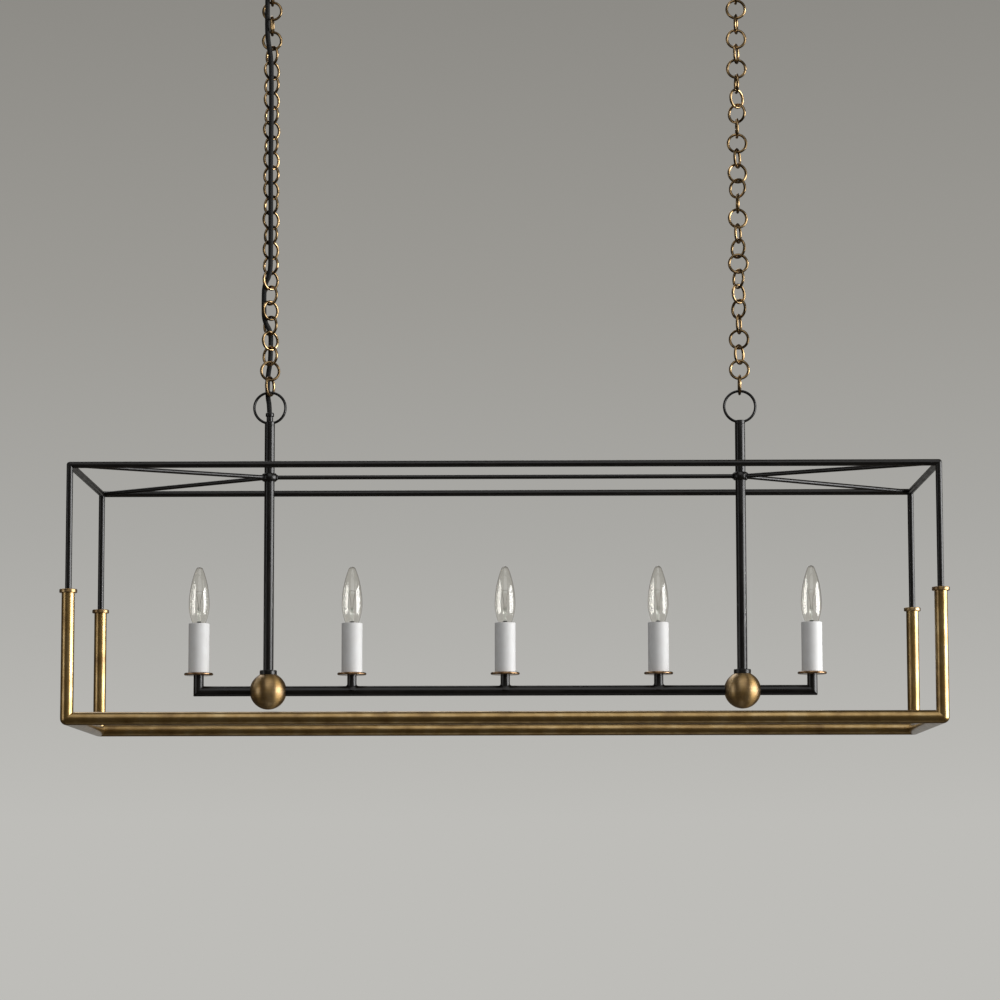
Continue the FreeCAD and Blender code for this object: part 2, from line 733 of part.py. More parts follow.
def build_arm():
    save("balls", ball(left_x), ball(right_x))
    save("ball_collars", ball_collar(left_x), ball_collar(right_x))
    save("centre_arm", centre_arm())
    save("end_arms", end_arm(left_x, candle_x[0]), end_arm(right_x, candle_x[-1]))


def build_candles():
    save("drip_dishes", *[dish(x) for x in candle_x])
    save("lamp_holders", *[lamp_holder(x) for x in candle_x])
    save("holder_shells", *[holder_shell(x) for x in candle_x])
    for number, x in enumerate(candle_x, 1):
        save("candle_sleeve_" + str(number), candle_sleeve(x))
        save("bulb_" + str(number) + "_glass", bulb_glass(x))
        save("bulb_" + str(number) + "_cap", bulb_cap(x))
        save("bulb_" + str(number) + "_mount", bulb_mount(x))


os.makedirs("parts", exist_ok=True)
build_ceiling_side()
build_chains()
build_stems()
build_frame()
build_arm()
build_candles()
print("lower tube axis", round(lower_z, 2), "mm below the ceiling plane")
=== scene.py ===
"""Looks of a linear island pendant: a brass and black open frame with five candle lights.

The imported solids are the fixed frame. Each sub-assembly below is a class that works out its
surfaces as whole arrays, in millimetres, and dresses them. Lengths become metres only where a
surface goes into its mesh.
"""

import json  # noqa: E402
import logging  # noqa: E402
import math  # noqa: E402
from dataclasses import dataclass, field  # noqa: E402
from enum import Enum  # noqa: E402

import bpy  # noqa: E402
import numpy as np  # noqa: E402
from mathutils import Matrix, Vector  # noqa: E402

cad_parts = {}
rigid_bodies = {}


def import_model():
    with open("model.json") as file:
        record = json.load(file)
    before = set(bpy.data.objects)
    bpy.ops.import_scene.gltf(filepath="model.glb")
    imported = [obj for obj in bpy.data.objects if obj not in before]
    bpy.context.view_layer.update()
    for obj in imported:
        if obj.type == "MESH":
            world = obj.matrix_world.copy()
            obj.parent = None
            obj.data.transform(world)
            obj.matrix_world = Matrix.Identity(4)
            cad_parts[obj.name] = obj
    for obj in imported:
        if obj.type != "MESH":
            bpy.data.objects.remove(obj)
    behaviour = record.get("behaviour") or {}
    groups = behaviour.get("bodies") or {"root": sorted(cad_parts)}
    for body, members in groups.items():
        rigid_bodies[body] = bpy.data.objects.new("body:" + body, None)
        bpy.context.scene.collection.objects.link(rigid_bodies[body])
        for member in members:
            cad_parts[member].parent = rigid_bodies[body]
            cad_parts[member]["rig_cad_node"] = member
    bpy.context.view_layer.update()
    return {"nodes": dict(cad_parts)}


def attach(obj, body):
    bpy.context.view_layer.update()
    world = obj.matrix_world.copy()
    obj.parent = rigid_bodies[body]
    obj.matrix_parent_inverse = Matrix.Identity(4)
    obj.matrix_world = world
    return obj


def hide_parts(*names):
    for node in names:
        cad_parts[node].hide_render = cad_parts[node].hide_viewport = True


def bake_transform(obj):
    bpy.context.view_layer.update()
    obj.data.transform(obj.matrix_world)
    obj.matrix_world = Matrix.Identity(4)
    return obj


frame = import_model()

Tree = bpy.types.NodeTree
Node = bpy.types.Node
Socket = bpy.types.NodeSocket
Piece = bpy.types.Object
Point = tuple[float, float, float]

log = logging.getLogger("pendant")
MM = 0.001
# Of both the powder coat's resin and the glass.
IOR = 1.5
# A mitre's crease stays crisp; on round bars, nothing that bends less than 60 degrees does.
MITRE_DEG = 30.0
ROUND_DEG = 60.0


class Side(Enum):
    """The two hanging lines, named as seen from the front."""

    LEFT = -1
    RIGHT = 1

    @property
    def word(self) -> str:
        """The word that this side's pieces and bodies carry."""
        return self.name.lower()

    @property
    def x(self) -> float:
        """Where this side's stem, chain and canopy stand along the pendant."""
        return self.value * PLACES.stem_x


class Grain(Enum):
    """Which way the maker's brush or polishing wheel ran over a surface."""

    ALONG = "along"
    AROUND = "around"


@dataclass(frozen=True)
class Places:
    """Heights and places that several sub-assemblies share, in millimetres."""

    stem_x: float = 295.5
    corner_x: float = 525.4625
    corner_y: float = 152.4125
    canopy_bottom_z: float = -25.0
    loop_z: float = -51.9
    link_pitch: float = 19.35
    bottom_link_z: float = -577.0
    hang_ring_z: float = -604.5
    foot_top_z: float = -621.9
    stem_top_z: float = -626.7
    hub_z: float = -692.7
    upper_z: float = -695.2
    lower_z: float = -1002.2
    arm_z: float = -961.0
    dish_z: float = -941.3
    sleeve_z: float = -938.1
    sleeve_top_z: float = -876.3
    candle_x: tuple[float, ...] = (-382.4, -191.2, 0.0, 191.2, 382.4)


PLACES = Places()
CORNER_SIGNS = ((-1, -1), (-1, 1), (1, -1), (1, 1))


# ------------------------------------------------------------------ surfaces
def rounded(corners: list[Point], steps: int = 4) -> np.ndarray:
    """Outline with round corners.

    Each corner with a fillet f becomes an arc tangent to both runs: its centre lies on the
    corner's bisector at f / sin(half angle), and the arc turns evenly between the two tangent
    points. A point just beyond each tangent point keeps the flat runs' shading flat.

    Args:
        corners: Rows of radius, height and fillet, in millimetres.
        steps: Spans in each arc.

    Returns:
        The outline's points, one row each.
    """
    spots = [np.array(c[:2], float) for c in corners]
    rows: list[np.ndarray] = []
    for k, (spot, corner) in enumerate(zip(spots, corners)):
        fillet = corner[2]
        if fillet <= 0:
            rows.append(spot[None])
            continue
        back = spots[k - 1] - spot
        ahead = spots[(k + 1) % len(spots)] - spot
        back /= np.linalg.norm(back)
        ahead /= np.linalg.norm(ahead)
        half = math.acos(float(np.clip(back @ ahead, -1, 1))) / 2
        cut = fillet / math.tan(half)
        middle = (back + ahead) / np.linalg.norm(back + ahead)
        centre = spot + middle * fillet / math.sin(half)
        first, last = spot + back * cut - centre, spot + ahead * cut - centre
        turn = math.pi - 2 * half
        t = np.linspace(0, 1, steps + 1)[:, None]
        arc = centre + (np.sin((1 - t) * turn) * first + np.sin(t * turn) * last) / math.sin(turn)
        ease = 0.12 * fillet
        rows.append((spot + back * (cut + ease))[None])
        rows.append(arc)
        rows.append((spot + ahead * (cut + ease))[None])
    return np.vstack(rows)


def arc(centre: tuple[float, float], radius: float, start: float, end: float,
        steps: int) -> np.ndarray:
    """Points on a circle about centre, evenly from start to end degrees."""
    a = np.radians(np.linspace(start, end, steps + 1))
    return np.stack([centre[0] + radius * np.cos(a), centre[1] + radius * np.sin(a)], -1)


def full_turn(spans: int) -> np.ndarray:
    """Angles evenly once round, without the last, which would be the first again."""
    return np.linspace(0, 2 * math.pi, spans, endpoint=False)


def run_along(line: np.ndarray) -> np.ndarray:
    """How far each point of a line is from its start, measured along it."""
    return np.concatenate([[0], np.cumsum(np.linalg.norm(np.diff(line, axis=0), axis=1))])


class Skin:
    """Grids of points gathered into one closed mesh, with a grain vector at each corner.

    The grain vector is a place in metres measured on the surface: two numbers across the
    brushing and one, shortened by STRETCH, along it. A pattern that reads it is drawn out
    along the brushing with no seam.
    """

    STRETCH = 0.035

    def __init__(self) -> None:
        self.points: list[np.ndarray] = []
        self.grain: list[np.ndarray] = []
        self.turning: list[np.ndarray] = []
        self.quads: list[np.ndarray] = []
        self.count = 0

    def add(self, points: np.ndarray, grain: np.ndarray | None = None, wrap_u: bool = False,
            wrap_v: bool = False, inside: Point | None = None,
            turning: np.ndarray | None = None) -> "Skin":
        """Adds a grid and turns its faces outwards.

        The faces face outwards where the sum over faces of area vector times the way from a
        point inside is positive; on a closed grid that sum is three times its volume.

        Args:
            points: Array of shape (m, n, 3), in millimetres.
            grain: The grain vectors, of the same shape; the points themselves where none is
                given.
            wrap_u: True to join the last row to the first.
            wrap_v: True to join the last column to the first.
            inside: A point behind an open grid; a closed grid needs none.
            turning: For each column, the way a lathe's marks run there; X where none is given.

        Returns:
            This skin.
        """
        m, n = points.shape[:2]
        index = np.arange(m * n).reshape(m, n)
        if wrap_u:
            index = np.vstack([index, index[:1]])
        if wrap_v:
            index = np.hstack([index, index[:, :1]])
        quads = np.stack([index[:-1, :-1], index[1:, :-1], index[1:, 1:], index[:-1, 1:]], -1)
        quads = quads.reshape(-1, 4)
        flat = points.reshape(-1, 3)
        ring = flat[quads]
        area = np.cross(ring[:, 2] - ring[:, 0], ring[:, 3] - ring[:, 1])
        ref = flat.mean(0) if inside is None else np.array(inside, float)
        if float((area * (ring.mean(1) - ref)).sum()) < 0:
            quads = quads[:, ::-1]
        self.points.append(flat)
        self.grain.append(flat if grain is None else grain.reshape(-1, 3))
        marks = np.array([1.0, 0, 0]) if turning is None else turning
        self.turning.append(np.broadcast_to(marks, (m, n, 3)).reshape(-1, 3))
        self.quads.append(quads + self.count)
        self.count += m * n
        return self

    def piece(self, name: str, sharp_deg: float = 38.0) -> Piece:
        """Welds points that coincide, drops collapsed corners and makes the object.

        Args:
            name: The piece's name.
            sharp_deg: Edges that bend more than this stay crisp.

        Returns:
            The new object, at the origin.
        """
        points = np.vstack(self.points)
        grain = np.vstack(self.grain)
        quads = np.vstack(self.quads)
        _, first, same = np.unique(np.round(points, 4), axis=0, return_index=True,
                                   return_inverse=True)
        same = same.reshape(-1)
        welded = same[quads]
        keep = welded != np.roll(welded, 1, axis=1)
        sizes = keep.sum(1)
        full = keep.all(1)
        thin = sizes == 3
        faces = welded[full].tolist() + welded[thin][keep[thin]].reshape(-1, 3).tolist()
        for_corners = [quads[full].ravel(), quads[thin][keep[thin]].ravel()]
        used = np.concatenate(for_corners)
        mesh = bpy.data.meshes.new(name)
        mesh.from_pydata((points[first] * MM).tolist(), [], faces)
        for word, rows in (("grain", grain * MM), ("turning", np.vstack(self.turning))):
            layer = mesh.attributes.new(word, "FLOAT_VECTOR", "CORNER")
            layer.data.foreach_set("vector", rows[used].astype(np.float32).ravel())
        mesh.shade_smooth()
        mesh.set_sharp_from_angle(angle=math.radians(sharp_deg))
        mesh.update()
        piece = bpy.data.objects.new(name, mesh)
        bpy.context.scene.collection.objects.link(piece)
        return piece


def spun(r: np.ndarray, h: np.ndarray, a: np.ndarray, centre: Point,
         squash: float | np.ndarray = 1.0) -> np.ndarray:
    """The points (r cos a, squash * r sin a, h) about a centre, one row for each r and h."""
    return np.stack([centre[0] + r * np.cos(a), centre[1] + squash * r * np.sin(a),
                     centre[2] + h + 0 * a], -1)


def turned(skin: Skin, outline: np.ndarray, centre: Point, spans: int = 64, closed: bool = True,
           grain: Grain = Grain.AROUND) -> Skin:
    """Adds a surface turned about the vertical axis through centre.

    A point at radius r and height h goes to (r cos a, r sin a, h) for every angle a. The grain
    runs around, so the pattern follows the outline's own length.
    """
    a = full_turn(spans)
    r, h = outline[:, :1], outline[:, 1:2]
    s = run_along(outline)[:, None] + 0 * a
    k = Skin.STRETCH
    if grain is Grain.AROUND:
        flow = np.stack([s, k * r * np.cos(a), k * r * np.sin(a)], -1)
    else:
        flow = np.stack([r * np.cos(a), r * np.sin(a), k * s], -1)
    round_it = np.stack([-np.sin(a), np.cos(a), 0 * a], -1)
    return skin.add(spun(r, h, a, centre), flow, wrap_u=closed, wrap_v=True, turning=round_it)


def turned_row(skin: Skin, outline: np.ndarray, places: list[float], z: float, spans: int,
               closed: bool = True) -> Skin:
    """Adds the same turned surface at each place along X."""
    for x in places:
        turned(skin, outline, (x, 0, z), spans, closed)
    return skin


def across(direction: np.ndarray) -> tuple[np.ndarray, np.ndarray]:
    """Two unit vectors square to a direction and to each other."""
    guide = np.array([0.0, 0.0, 1.0]) if abs(direction[2]) < 0.9 else np.array([1.0, 0.0, 0.0])
    first = guide - direction * (guide @ direction)
    first /= np.linalg.norm(first)
    return first, np.cross(direction, first)


def circle(first: np.ndarray, second: np.ndarray, spans: int) -> np.ndarray:
    """Unit vectors evenly round a circle that holds two directions square to each other."""
    a = full_turn(spans)[:, None]
    return np.cos(a) * first + np.sin(a) * second


def sections(line: np.ndarray, way: np.ndarray, guide: np.ndarray, radius: float,
             a: np.ndarray) -> np.ndarray:
    """Circles square to a line, closed by a point at each end.

    A circle's first direction is the guide less its part along the line.

    Args:
        line: The middle line's points.
        way: The line's direction at each point, of any length.
        guide: A direction that the line never takes.
        radius: The circles' radius.
        a: The angles of each circle's points.

    Returns:
        The grid of points, one row for each circle and one for each end.
    """
    way = way / np.linalg.norm(way, axis=1)[:, None]
    first = guide - way * (way @ guide)[:, None]
    first /= np.linalg.norm(first, axis=1)[:, None]
    a = a[None, :, None]
    ring = np.cos(a) * first[:, None] + np.sin(a) * np.cross(way, first)[:, None]
    return np.concatenate([line[:1, None] + 0 * ring[:1], line[:, None] + radius * ring,
                           line[-1:, None] + 0 * ring[-1:]])


def rod(skin: Skin, radius: float, start: Point, end: Point, spans: int = 40,
        edge: float = 0.3) -> Skin:
    """Adds a closed round bar from start to end.

    A circle carried along the line; its radius falls along a quarter arc at each end and then
    to nothing, so both ends are closed.
    """
    a, b = np.array(start, float), np.array(end, float)
    length = float(np.linalg.norm(b - a))
    way = (b - a) / length
    u, v = across(way)
    q = np.radians(np.linspace(0, 90, 4))
    head = np.stack([edge - edge * np.sin(q), radius - edge + edge * np.cos(q)], -1)[::-1]
    runs = np.vstack([[[0, 0]], head, [[1.3 * edge, radius]]])
    tail = runs[::-1].copy()
    tail[:, 0] = length - tail[:, 0]
    runs = np.vstack([runs, tail])
    t, r = runs[:, :1], runs[:, 1:2]
    angle = full_turn(spans)
    points = a + t[:, :, None] * way + r[:, :, None] * circle(u, v, spans)[None]
    flow = np.stack([r * np.cos(angle), r * np.sin(angle), Skin.STRETCH * t + 0 * angle], -1)
    return skin.add(points, flow, wrap_v=True)


def mitred_leg(skin: Skin, radius: float, corner: np.ndarray, way: np.ndarray, side_a: np.ndarray,
               side_b: np.ndarray, reach: float) -> Skin:
    """Adds one leg of a corner where three equal tubes meet.

    On the leg's circle the point at angle p stands radius * cos p towards one neighbour and
    radius * sin p towards the other. The leg starts where that is furthest towards a
    neighbour, at the greater of the two and never before the corner, which gives the mitres.
    """
    p = full_turn(48)
    a, b = radius * np.cos(p), radius * np.sin(p)
    start = np.maximum(0, np.maximum(a, b))
    share = np.array([0, 0.04, 0.5, 1.0])[:, None]
    t = start + share * (reach - start)
    points = (corner + t[:, :, None] * way + a[None, :, None] * side_a
              + b[None, :, None] * side_b)
    place = points @ way
    flow = np.stack([a + 0 * t, b + 0 * t, Skin.STRETCH * place], -1)
    return skin.add(points, flow, wrap_v=True, inside=tuple(corner + way * reach / 2))


def corner_cap(skin: Skin, radius: float, corner: np.ndarray, ways: list[np.ndarray]) -> Skin:
    """Adds the eighth of a sphere that rounds the outside of a three-way corner.

    The point at angles (p, q), both from 0 to 90 degrees, stands opposite the three legs:
    minus radius times (cos p cos q, sin p cos q, sin q) along them.
    """
    p = np.radians(np.linspace(0, 90, 13))[:, None]
    q = np.radians(np.linspace(0, 90, 13))[None]
    parts = [np.cos(p) * np.cos(q), np.sin(p) * np.cos(q), np.sin(q) + 0 * p]
    points = corner - radius * sum(part[:, :, None] * way for part, way in zip(parts, ways))
    return skin.add(points, inside=tuple(corner))


def wire_ring(skin: Skin, centre: np.ndarray, radius: float, wire: float, turn_deg: float,
              seam_deg: float, gap: float, bevel: float = 0.35) -> Skin:
    """Adds a ring bent from round wire, with its two ends butted at the seam.

    At the angle a the wire's middle stands at radius * (cos a, sin a) in the ring's plane,
    which holds the vertical and is turned about it. The wire keeps its radius but for a
    quarter-round bevel at the two ends, which leaves the gap between them.
    """
    turn = math.radians(turn_deg)
    out = np.array([math.cos(turn), math.sin(turn), 0])
    face = np.array([-math.sin(turn), math.cos(turn), 0])
    up = np.array([0, 0, 1.0])
    half = gap / 2 / radius
    full = 2 * math.pi - 2 * half
    ease = bevel / radius
    q = np.radians(np.array([0, 0, 30, 60, 90]))
    lead = ease * (1 - np.cos(q))
    lead[0] = 0
    thick = (wire - bevel) + bevel * np.sin(q)
    thick[0] = 0
    inner = np.linspace(1.6 * ease, full - 1.6 * ease, 60)
    a = np.concatenate([lead, inner, full - lead[::-1]]) + math.radians(seam_deg) + half
    r = np.concatenate([thick, np.full(60, wire), thick[::-1]])
    b = full_turn(16)
    spoke = np.cos(a)[:, None] * out + np.sin(a)[:, None] * up
    points = (centre + radius * spoke[:, None, :]
              + (r[:, None] * np.cos(b))[:, :, None] * spoke[:, None, :]
              + (r[:, None] * np.sin(b))[:, :, None] * face)
    k = Skin.STRETCH
    flow = np.stack([r[:, None] * np.cos(b) + centre[2], r[:, None] * np.sin(b) + centre[0],
                     k * radius * (a[:, None] - a[0]) + 0 * b], -1)
    return skin.add(points, flow, wrap_v=True)


def flare(skin: Skin, tube: float, stub: float, fillet: float, centre: np.ndarray,
          top_z: float) -> Skin:
    """Adds an upright stub on a tube along X, with a concave fillet at its foot.

    At the fillet's angle a, the radius is stub + fillet * (1 - sin a), and the height is the
    tube's own height there, sqrt(tube^2 - (radius * sin p)^2), plus fillet * (1 - cos a).
    Above it the stub is straight.
    """
    p = full_turn(48)
    a = np.radians(np.linspace(0, 90, 8))[:, None]
    r = stub + fillet * (1 - np.sin(a)) + 0 * p
    reach = np.minimum(np.abs(r * np.sin(p)), tube)
    z = np.sqrt(np.maximum(tube ** 2 - reach ** 2, 0)) + fillet * (1 - np.cos(a))
    r = np.vstack([r, r[-1:], r[-1:]])
    top = top_z - centre[2]
    z = np.vstack([z, np.maximum(z[-1:], 0.5 * (z[-1:] + top)), 0 * z[-1:] + top])
    points = spun(r, z, p, centre)
    flow = np.stack([r * np.cos(p), r * np.sin(p), Skin.STRETCH * z], -1)
    return skin.add(points, flow, wrap_v=True, inside=tuple(centre + [0, 0, top / 2]))


# ------------------------------------------------------------------ finishes
def linear(code: str) -> tuple[float, float, float, float]:
    """An sRGB hex colour as the linear colour that a shader's socket takes.

    Each share c becomes c / 12.92 where it is at most 0.04045, and otherwise
    ((c + 0.055) / 1.055) to the power 2.4.
    """
    parts = [int(code[k:k + 2], 16) / 255 for k in (1, 3, 5)]
    return (*[c / 12.92 if c <= 0.04045 else ((c + 0.055) / 1.055) ** 2.4 for c in parts], 1.0)


def add(tree: Tree, kind: str, inputs: dict | None = None, **settings: object) -> Node:
    """Adds one node, with its settings, and sets or links its inputs.

    Args:
        tree: The material's or world's nodes.
        kind: The node's type name.
        inputs: Values or output sockets, by the input's name or number.
        **settings: The node's own options.

    Returns:
        The node.
    """
    node = tree.nodes.new(kind)
    for key, value in settings.items():
        setattr(node, key, value)
    plug(tree, node, inputs or {})
    return node


def plug(tree: Tree, node: Node, inputs: dict) -> None:
    """Sets each input of a node to a value, or links it to an output socket."""
    for key, value in inputs.items():
        if isinstance(value, Socket):
            tree.links.new(value, node.inputs[key])
        else:
            node.inputs[key].default_value = value


def own_place(tree: Tree) -> Socket:
    """The place on a piece in its own space, in metres; in a world, the direction seen."""
    return add(tree, "ShaderNodeTexCoord").outputs["Object"]


def carried(tree: Tree, word: str) -> Socket:
    """A vector that the mesh carries at each corner: "grain" or "turning"."""
    return add(tree, "ShaderNodeAttribute", attribute_name=word).outputs["Vector"]


def per_metre(size_mm: float) -> float:
    """The texture scale at which one feature of a pattern measures size_mm."""
    return 1000.0 / size_mm


def noise(tree: Tree, at: Socket, size_mm: float, detail: float = 2.0, **inputs: float) -> Socket:
    """Cloudy noise whose features measure size_mm."""
    return add(tree, "ShaderNodeTexNoise", {"Vector": at, "Scale": per_metre(size_mm),
                                            "Detail": detail, **inputs}).outputs["Fac"]


def blend(tree: Tree, share: float, first: Socket, second: Socket) -> Socket:
    """Two patterns mixed, with the given share of the second."""
    return add(tree, "ShaderNodeMix", {"Factor": share, "A": first, "B": second}
               ).outputs["Result"]


def relief(tree: Tree, height: Socket, depth_mm: float, strength: float) -> Socket:
    """The normal of a surface with a pattern raised on it, depth_mm high."""
    return add(tree, "ShaderNodeBump", {"Height": height, "Distance": depth_mm * MM,
                                        "Strength": strength}).outputs["Normal"]


def joined(tree: Tree, operation: str, *values: Socket) -> Socket:
    """One arithmetic step on one or two values."""
    return add(tree, "ShaderNodeMath", dict(enumerate(values)), operation=operation).outputs[0]


def ramp(tree: Tree, factor: Socket, stops: list[tuple[float, str]]) -> Socket:
    """A colour ramp through (place, hex colour) stops, read at factor."""
    node = add(tree, "ShaderNodeValToRGB", {"Fac": factor})
    band = node.color_ramp
    while len(band.elements) < len(stops):
        band.elements.new(0.5)
    for element, (place, code) in zip(band.elements, stops):
        element.position = place
        element.color = linear(code)
    return node.outputs["Color"]


def span(tree: Tree, value: Socket, low: float, high: float, low_in: float = 0.3,
         high_in: float = 0.7) -> Socket:
    """Maps a pattern's usual range onto low to high."""
    node = add(tree, "ShaderNodeMapRange", {"Value": value, "From Min": low_in,
                                            "From Max": high_in, "To Min": low, "To Max": high})
    return node.outputs["Result"]


@dataclass(frozen=True)
class Finish:
    """A material, named for what the real one is and how its surface was made.

    The stops are where its colours stand on the pattern, the roughness runs between two
    numbers over the pattern's usual range, and bump is the strength of its relief.
    """

    name: str
    slot: str
    stops: tuple[float, ...] = (0.35, 0.7)
    rough: tuple[float, float] = (0.3, 0.4)
    bump: float = 0.2

    def coat(self, tree: Tree, shader: Node, pattern: Socket, colours: tuple[str, ...],
             sockets: dict) -> None:
        """Takes colour and roughness from one pattern, and sets the other sockets given."""
        plug(tree, shader, {"Base Color": self.shades(tree, pattern, *colours),
                            "Roughness": span(tree, pattern, *self.rough), **sockets})

    def shades(self, tree: Tree, pattern: Socket, *colours: str) -> Socket:
        """The colours, each at its own stop of a pattern."""
        return ramp(tree, pattern, list(zip(self.stops, colours)))

    def paint(self, tree: Tree, shader: Node) -> None:
        """Adds the finish's nodes and sets the shader's sockets."""
        raise NotImplementedError

    def material(self) -> bpy.types.Material:
        """Makes the material once and gives the same one after that."""
        found = bpy.data.materials.get(self.name)
        if found:
            return found
        made = bpy.data.materials.new(self.name)
        made.use_nodes = True
        tree = made.node_tree
        tree.nodes.clear()
        shader = add(tree, "ShaderNodeBsdfPrincipled")
        add(tree, "ShaderNodeOutputMaterial", {"Surface": shader.outputs["BSDF"]})
        self.paint(tree, shader)
        return made

    def dress(self, piece: Piece) -> Piece:
        """Gives a piece this finish in every slot."""
        made = self.material()
        if piece.material_slots:
            for place in piece.material_slots:
                place.material = made
        else:
            piece.data.materials.append(made)
        return piece


@dataclass(frozen=True)
class BrushedBrass(Finish):
    """Brass tube brushed along its length, stained dark and lacquered.

    The stain leaves olive and brown clouds and the brushing draws the highlight out across the
    tube. Metal, so the base colour is the reflection's colour.
    """

    dark: str = "#866634"
    middle: str = "#B39256"
    light: str = "#D0B47E"
    stops: tuple[float, ...] = (0.3, 0.5, 0.7)
    rough: tuple[float, float] = (0.4, 0.3)
    lacquer: float = 1.0
    lacquer_rough: float = 0.22
    cloud_mm: float = 22.0
    line_mm: float = 1.4
    line_height_mm: float = 0.004
    line_share: float = 0.3
    anisotropy: float = 0.0
    quarter_turn: float = 0.25

    def paint(self, tree: Tree, shader: Node) -> None:
        """Clouds of stain in object space, brushed lines on the grain vector."""
        # Brushed lines are really under 0.1 mm apart; drawn over a millimetre so that they show.
        lines = noise(tree, carried(tree, "grain"), self.line_mm, 5.0, Roughness=0.65)
        mixed = blend(tree, self.line_share, noise(tree, own_place(tree), self.cloud_mm, 4.0),
                      lines)
        self.coat(tree, shader, mixed, (self.dark, self.middle, self.light), {
            "Metallic": 1.0,
            "Coat Weight": self.lacquer,
            "Coat Roughness": self.lacquer_rough,
            "Normal": relief(tree, lines, self.line_height_mm, self.bump)})
        if self.anisotropy:
            # Turning marks run round the piece and draw the highlight out across them.
            plug(tree, shader, {"Anisotropic": self.anisotropy,
                                "Anisotropic Rotation": self.quarter_turn,
                                "Tangent": carried(tree, "turning")})


@dataclass(frozen=True)
class PowderCoat(Finish):
    """Satin black powder coat on steel.

    It bakes to a soft skin with faint orange peel, which breaks the edge of each highlight,
    and is a little browner where it is thin.
    """

    colour: str = "#0D0C0B"
    thin: str = "#151311"
    stops: tuple[float, ...] = (0.35, 0.68)
    rough: tuple[float, float] = (0.27, 0.36)
    bump: float = 0.15
    peel_mm: float = 1.1
    peel_height_mm: float = 0.004
    cloud_mm: float = 22.0

    def paint(self, tree: Tree, shader: Node) -> None:
        """Orange peel as a fine bump, clouds in colour and roughness."""
        place = own_place(tree)
        clouds = noise(tree, place, self.cloud_mm, 3.0)
        self.coat(tree, shader, clouds, (self.colour, self.thin), {
            "IOR": IOR,
            "Normal": relief(tree, noise(tree, place, self.peel_mm), self.peel_height_mm,
                             self.bump)})


@dataclass(frozen=True)
class AntiqueChain(Finish):
    """Drawn steel wire, plated with antique brass and rubbed back.

    The plating is brown in the dull places and coppery where it was rubbed, in patches about a
    centimetre wide. Faint drawing lines run with the wire.
    """

    dark: str = "#5A4A32"
    middle: str = "#957D59"
    rubbed: str = "#D2B080"
    stops: tuple[float, ...] = (0.36, 0.52, 0.68)
    rough: tuple[float, float] = (0.3, 0.22)
    bump: float = 0.1
    patch_mm: float = 11.0
    patch_height_mm: float = 0.01
    line_mm: float = 0.45
    line_share: float = 0.06

    def paint(self, tree: Tree, shader: Node) -> None:
        """Patches in object space, with fine drawing lines from the grain vector."""
        mixed = blend(tree, self.line_share, noise(tree, own_place(tree), self.patch_mm, 1.5),
                      noise(tree, carried(tree, "grain"), self.line_mm, 3.0))
        self.coat(tree, shader, mixed, (self.dark, self.middle, self.rubbed), {
            "Metallic": 1.0,
            "Normal": relief(tree, mixed, self.patch_height_mm, self.bump)})


@dataclass(frozen=True)
class ZincPlate(Finish):
    """Bright zinc plate on pressed steel, with a cloudy blue-grey bloom."""

    pale: str = "#C9CCD0"
    bloom: str = "#9AA1A8"
    stops: tuple[float, ...] = (0.25, 0.65)
    rough: tuple[float, float] = (0.25, 0.42)
    bloom_mm: float = 5.0
    fine_share: float = 0.5
    fine_mm: float = 1.2

    def paint(self, tree: Tree, shader: Node) -> None:
        """A few millimetres of bloom in colour and roughness."""
        place = own_place(tree)
        bloom = add(tree, "ShaderNodeTexVoronoi", {"Vector": place,
                                                   "Scale": per_metre(self.bloom_mm)})
        mixed = blend(tree, self.fine_share, bloom.outputs["Distance"],
                      noise(tree, place, self.fine_mm))
        self.coat(tree, shader, mixed, (self.pale, self.bloom), {"Metallic": 1.0})


@dataclass(frozen=True)
class CandleSleeve(Finish):
    """White resin candle sleeve, moulded and left matt.

    Its skin is faintly mottled and warmer in the thin places.
    """

    white: str = "#E2E2E1"
    warm: str = "#DDDCDA"
    rough: tuple[float, float] = (0.48, 0.6)
    soft_mm: float = 14.0
    fine_mm: float = 0.7
    fine_height_mm: float = 0.02

    def paint(self, tree: Tree, shader: Node) -> None:
        """Soft mottling of some millimetres, with a fine matt grain."""
        place = own_place(tree)
        fine = noise(tree, place, self.fine_mm)
        plug(tree, shader, {
            "Base Color": self.shades(tree, noise(tree, place, self.soft_mm, 3.0), self.white,
                                      self.warm),
            "Roughness": span(tree, fine, *self.rough),
            "Normal": relief(tree, fine, self.fine_height_mm, self.bump)})


@dataclass(frozen=True)
class Phenolic(Finish):
    """Moulded phenolic resin, brown-black and slightly glossy, with faint flow marks."""

    colour: str = "#191614"
    flow: str = "#26211D"
    stops: tuple[float, ...] = (0.4, 0.7)
    rough: tuple[float, float] = (0.35, 0.48)
    flow_mm: float = 4.0
    swirl: float = 1.5

    def paint(self, tree: Tree, shader: Node) -> None:
        """Flow marks of a few millimetres."""
        marks = noise(tree, own_place(tree), self.flow_mm, 3.0, Distortion=self.swirl)
        self.coat(tree, shader, marks, (self.colour, self.flow), {})


@dataclass(frozen=True)
class ClearGlass(Finish):
    """Blown clear soda-lime glass: sharp reflections, almost no colour."""

    tint: str = "#FAF9F6"
    bump: float = 0.05
    wave_mm: float = 9.0
    wave_height_mm: float = 0.01

    def paint(self, tree: Tree, shader: Node) -> None:
        """Clear all through, with the slight waves that blowing leaves."""
        waves = noise(tree, own_place(tree), self.wave_mm, 1.0)
        plug(tree, shader, {
            "Base Color": linear(self.tint),
            "Transmission Weight": 1.0,
            "Roughness": 0.0,
            "IOR": IOR,
            "Normal": relief(tree, waves, self.wave_height_mm, self.bump)})


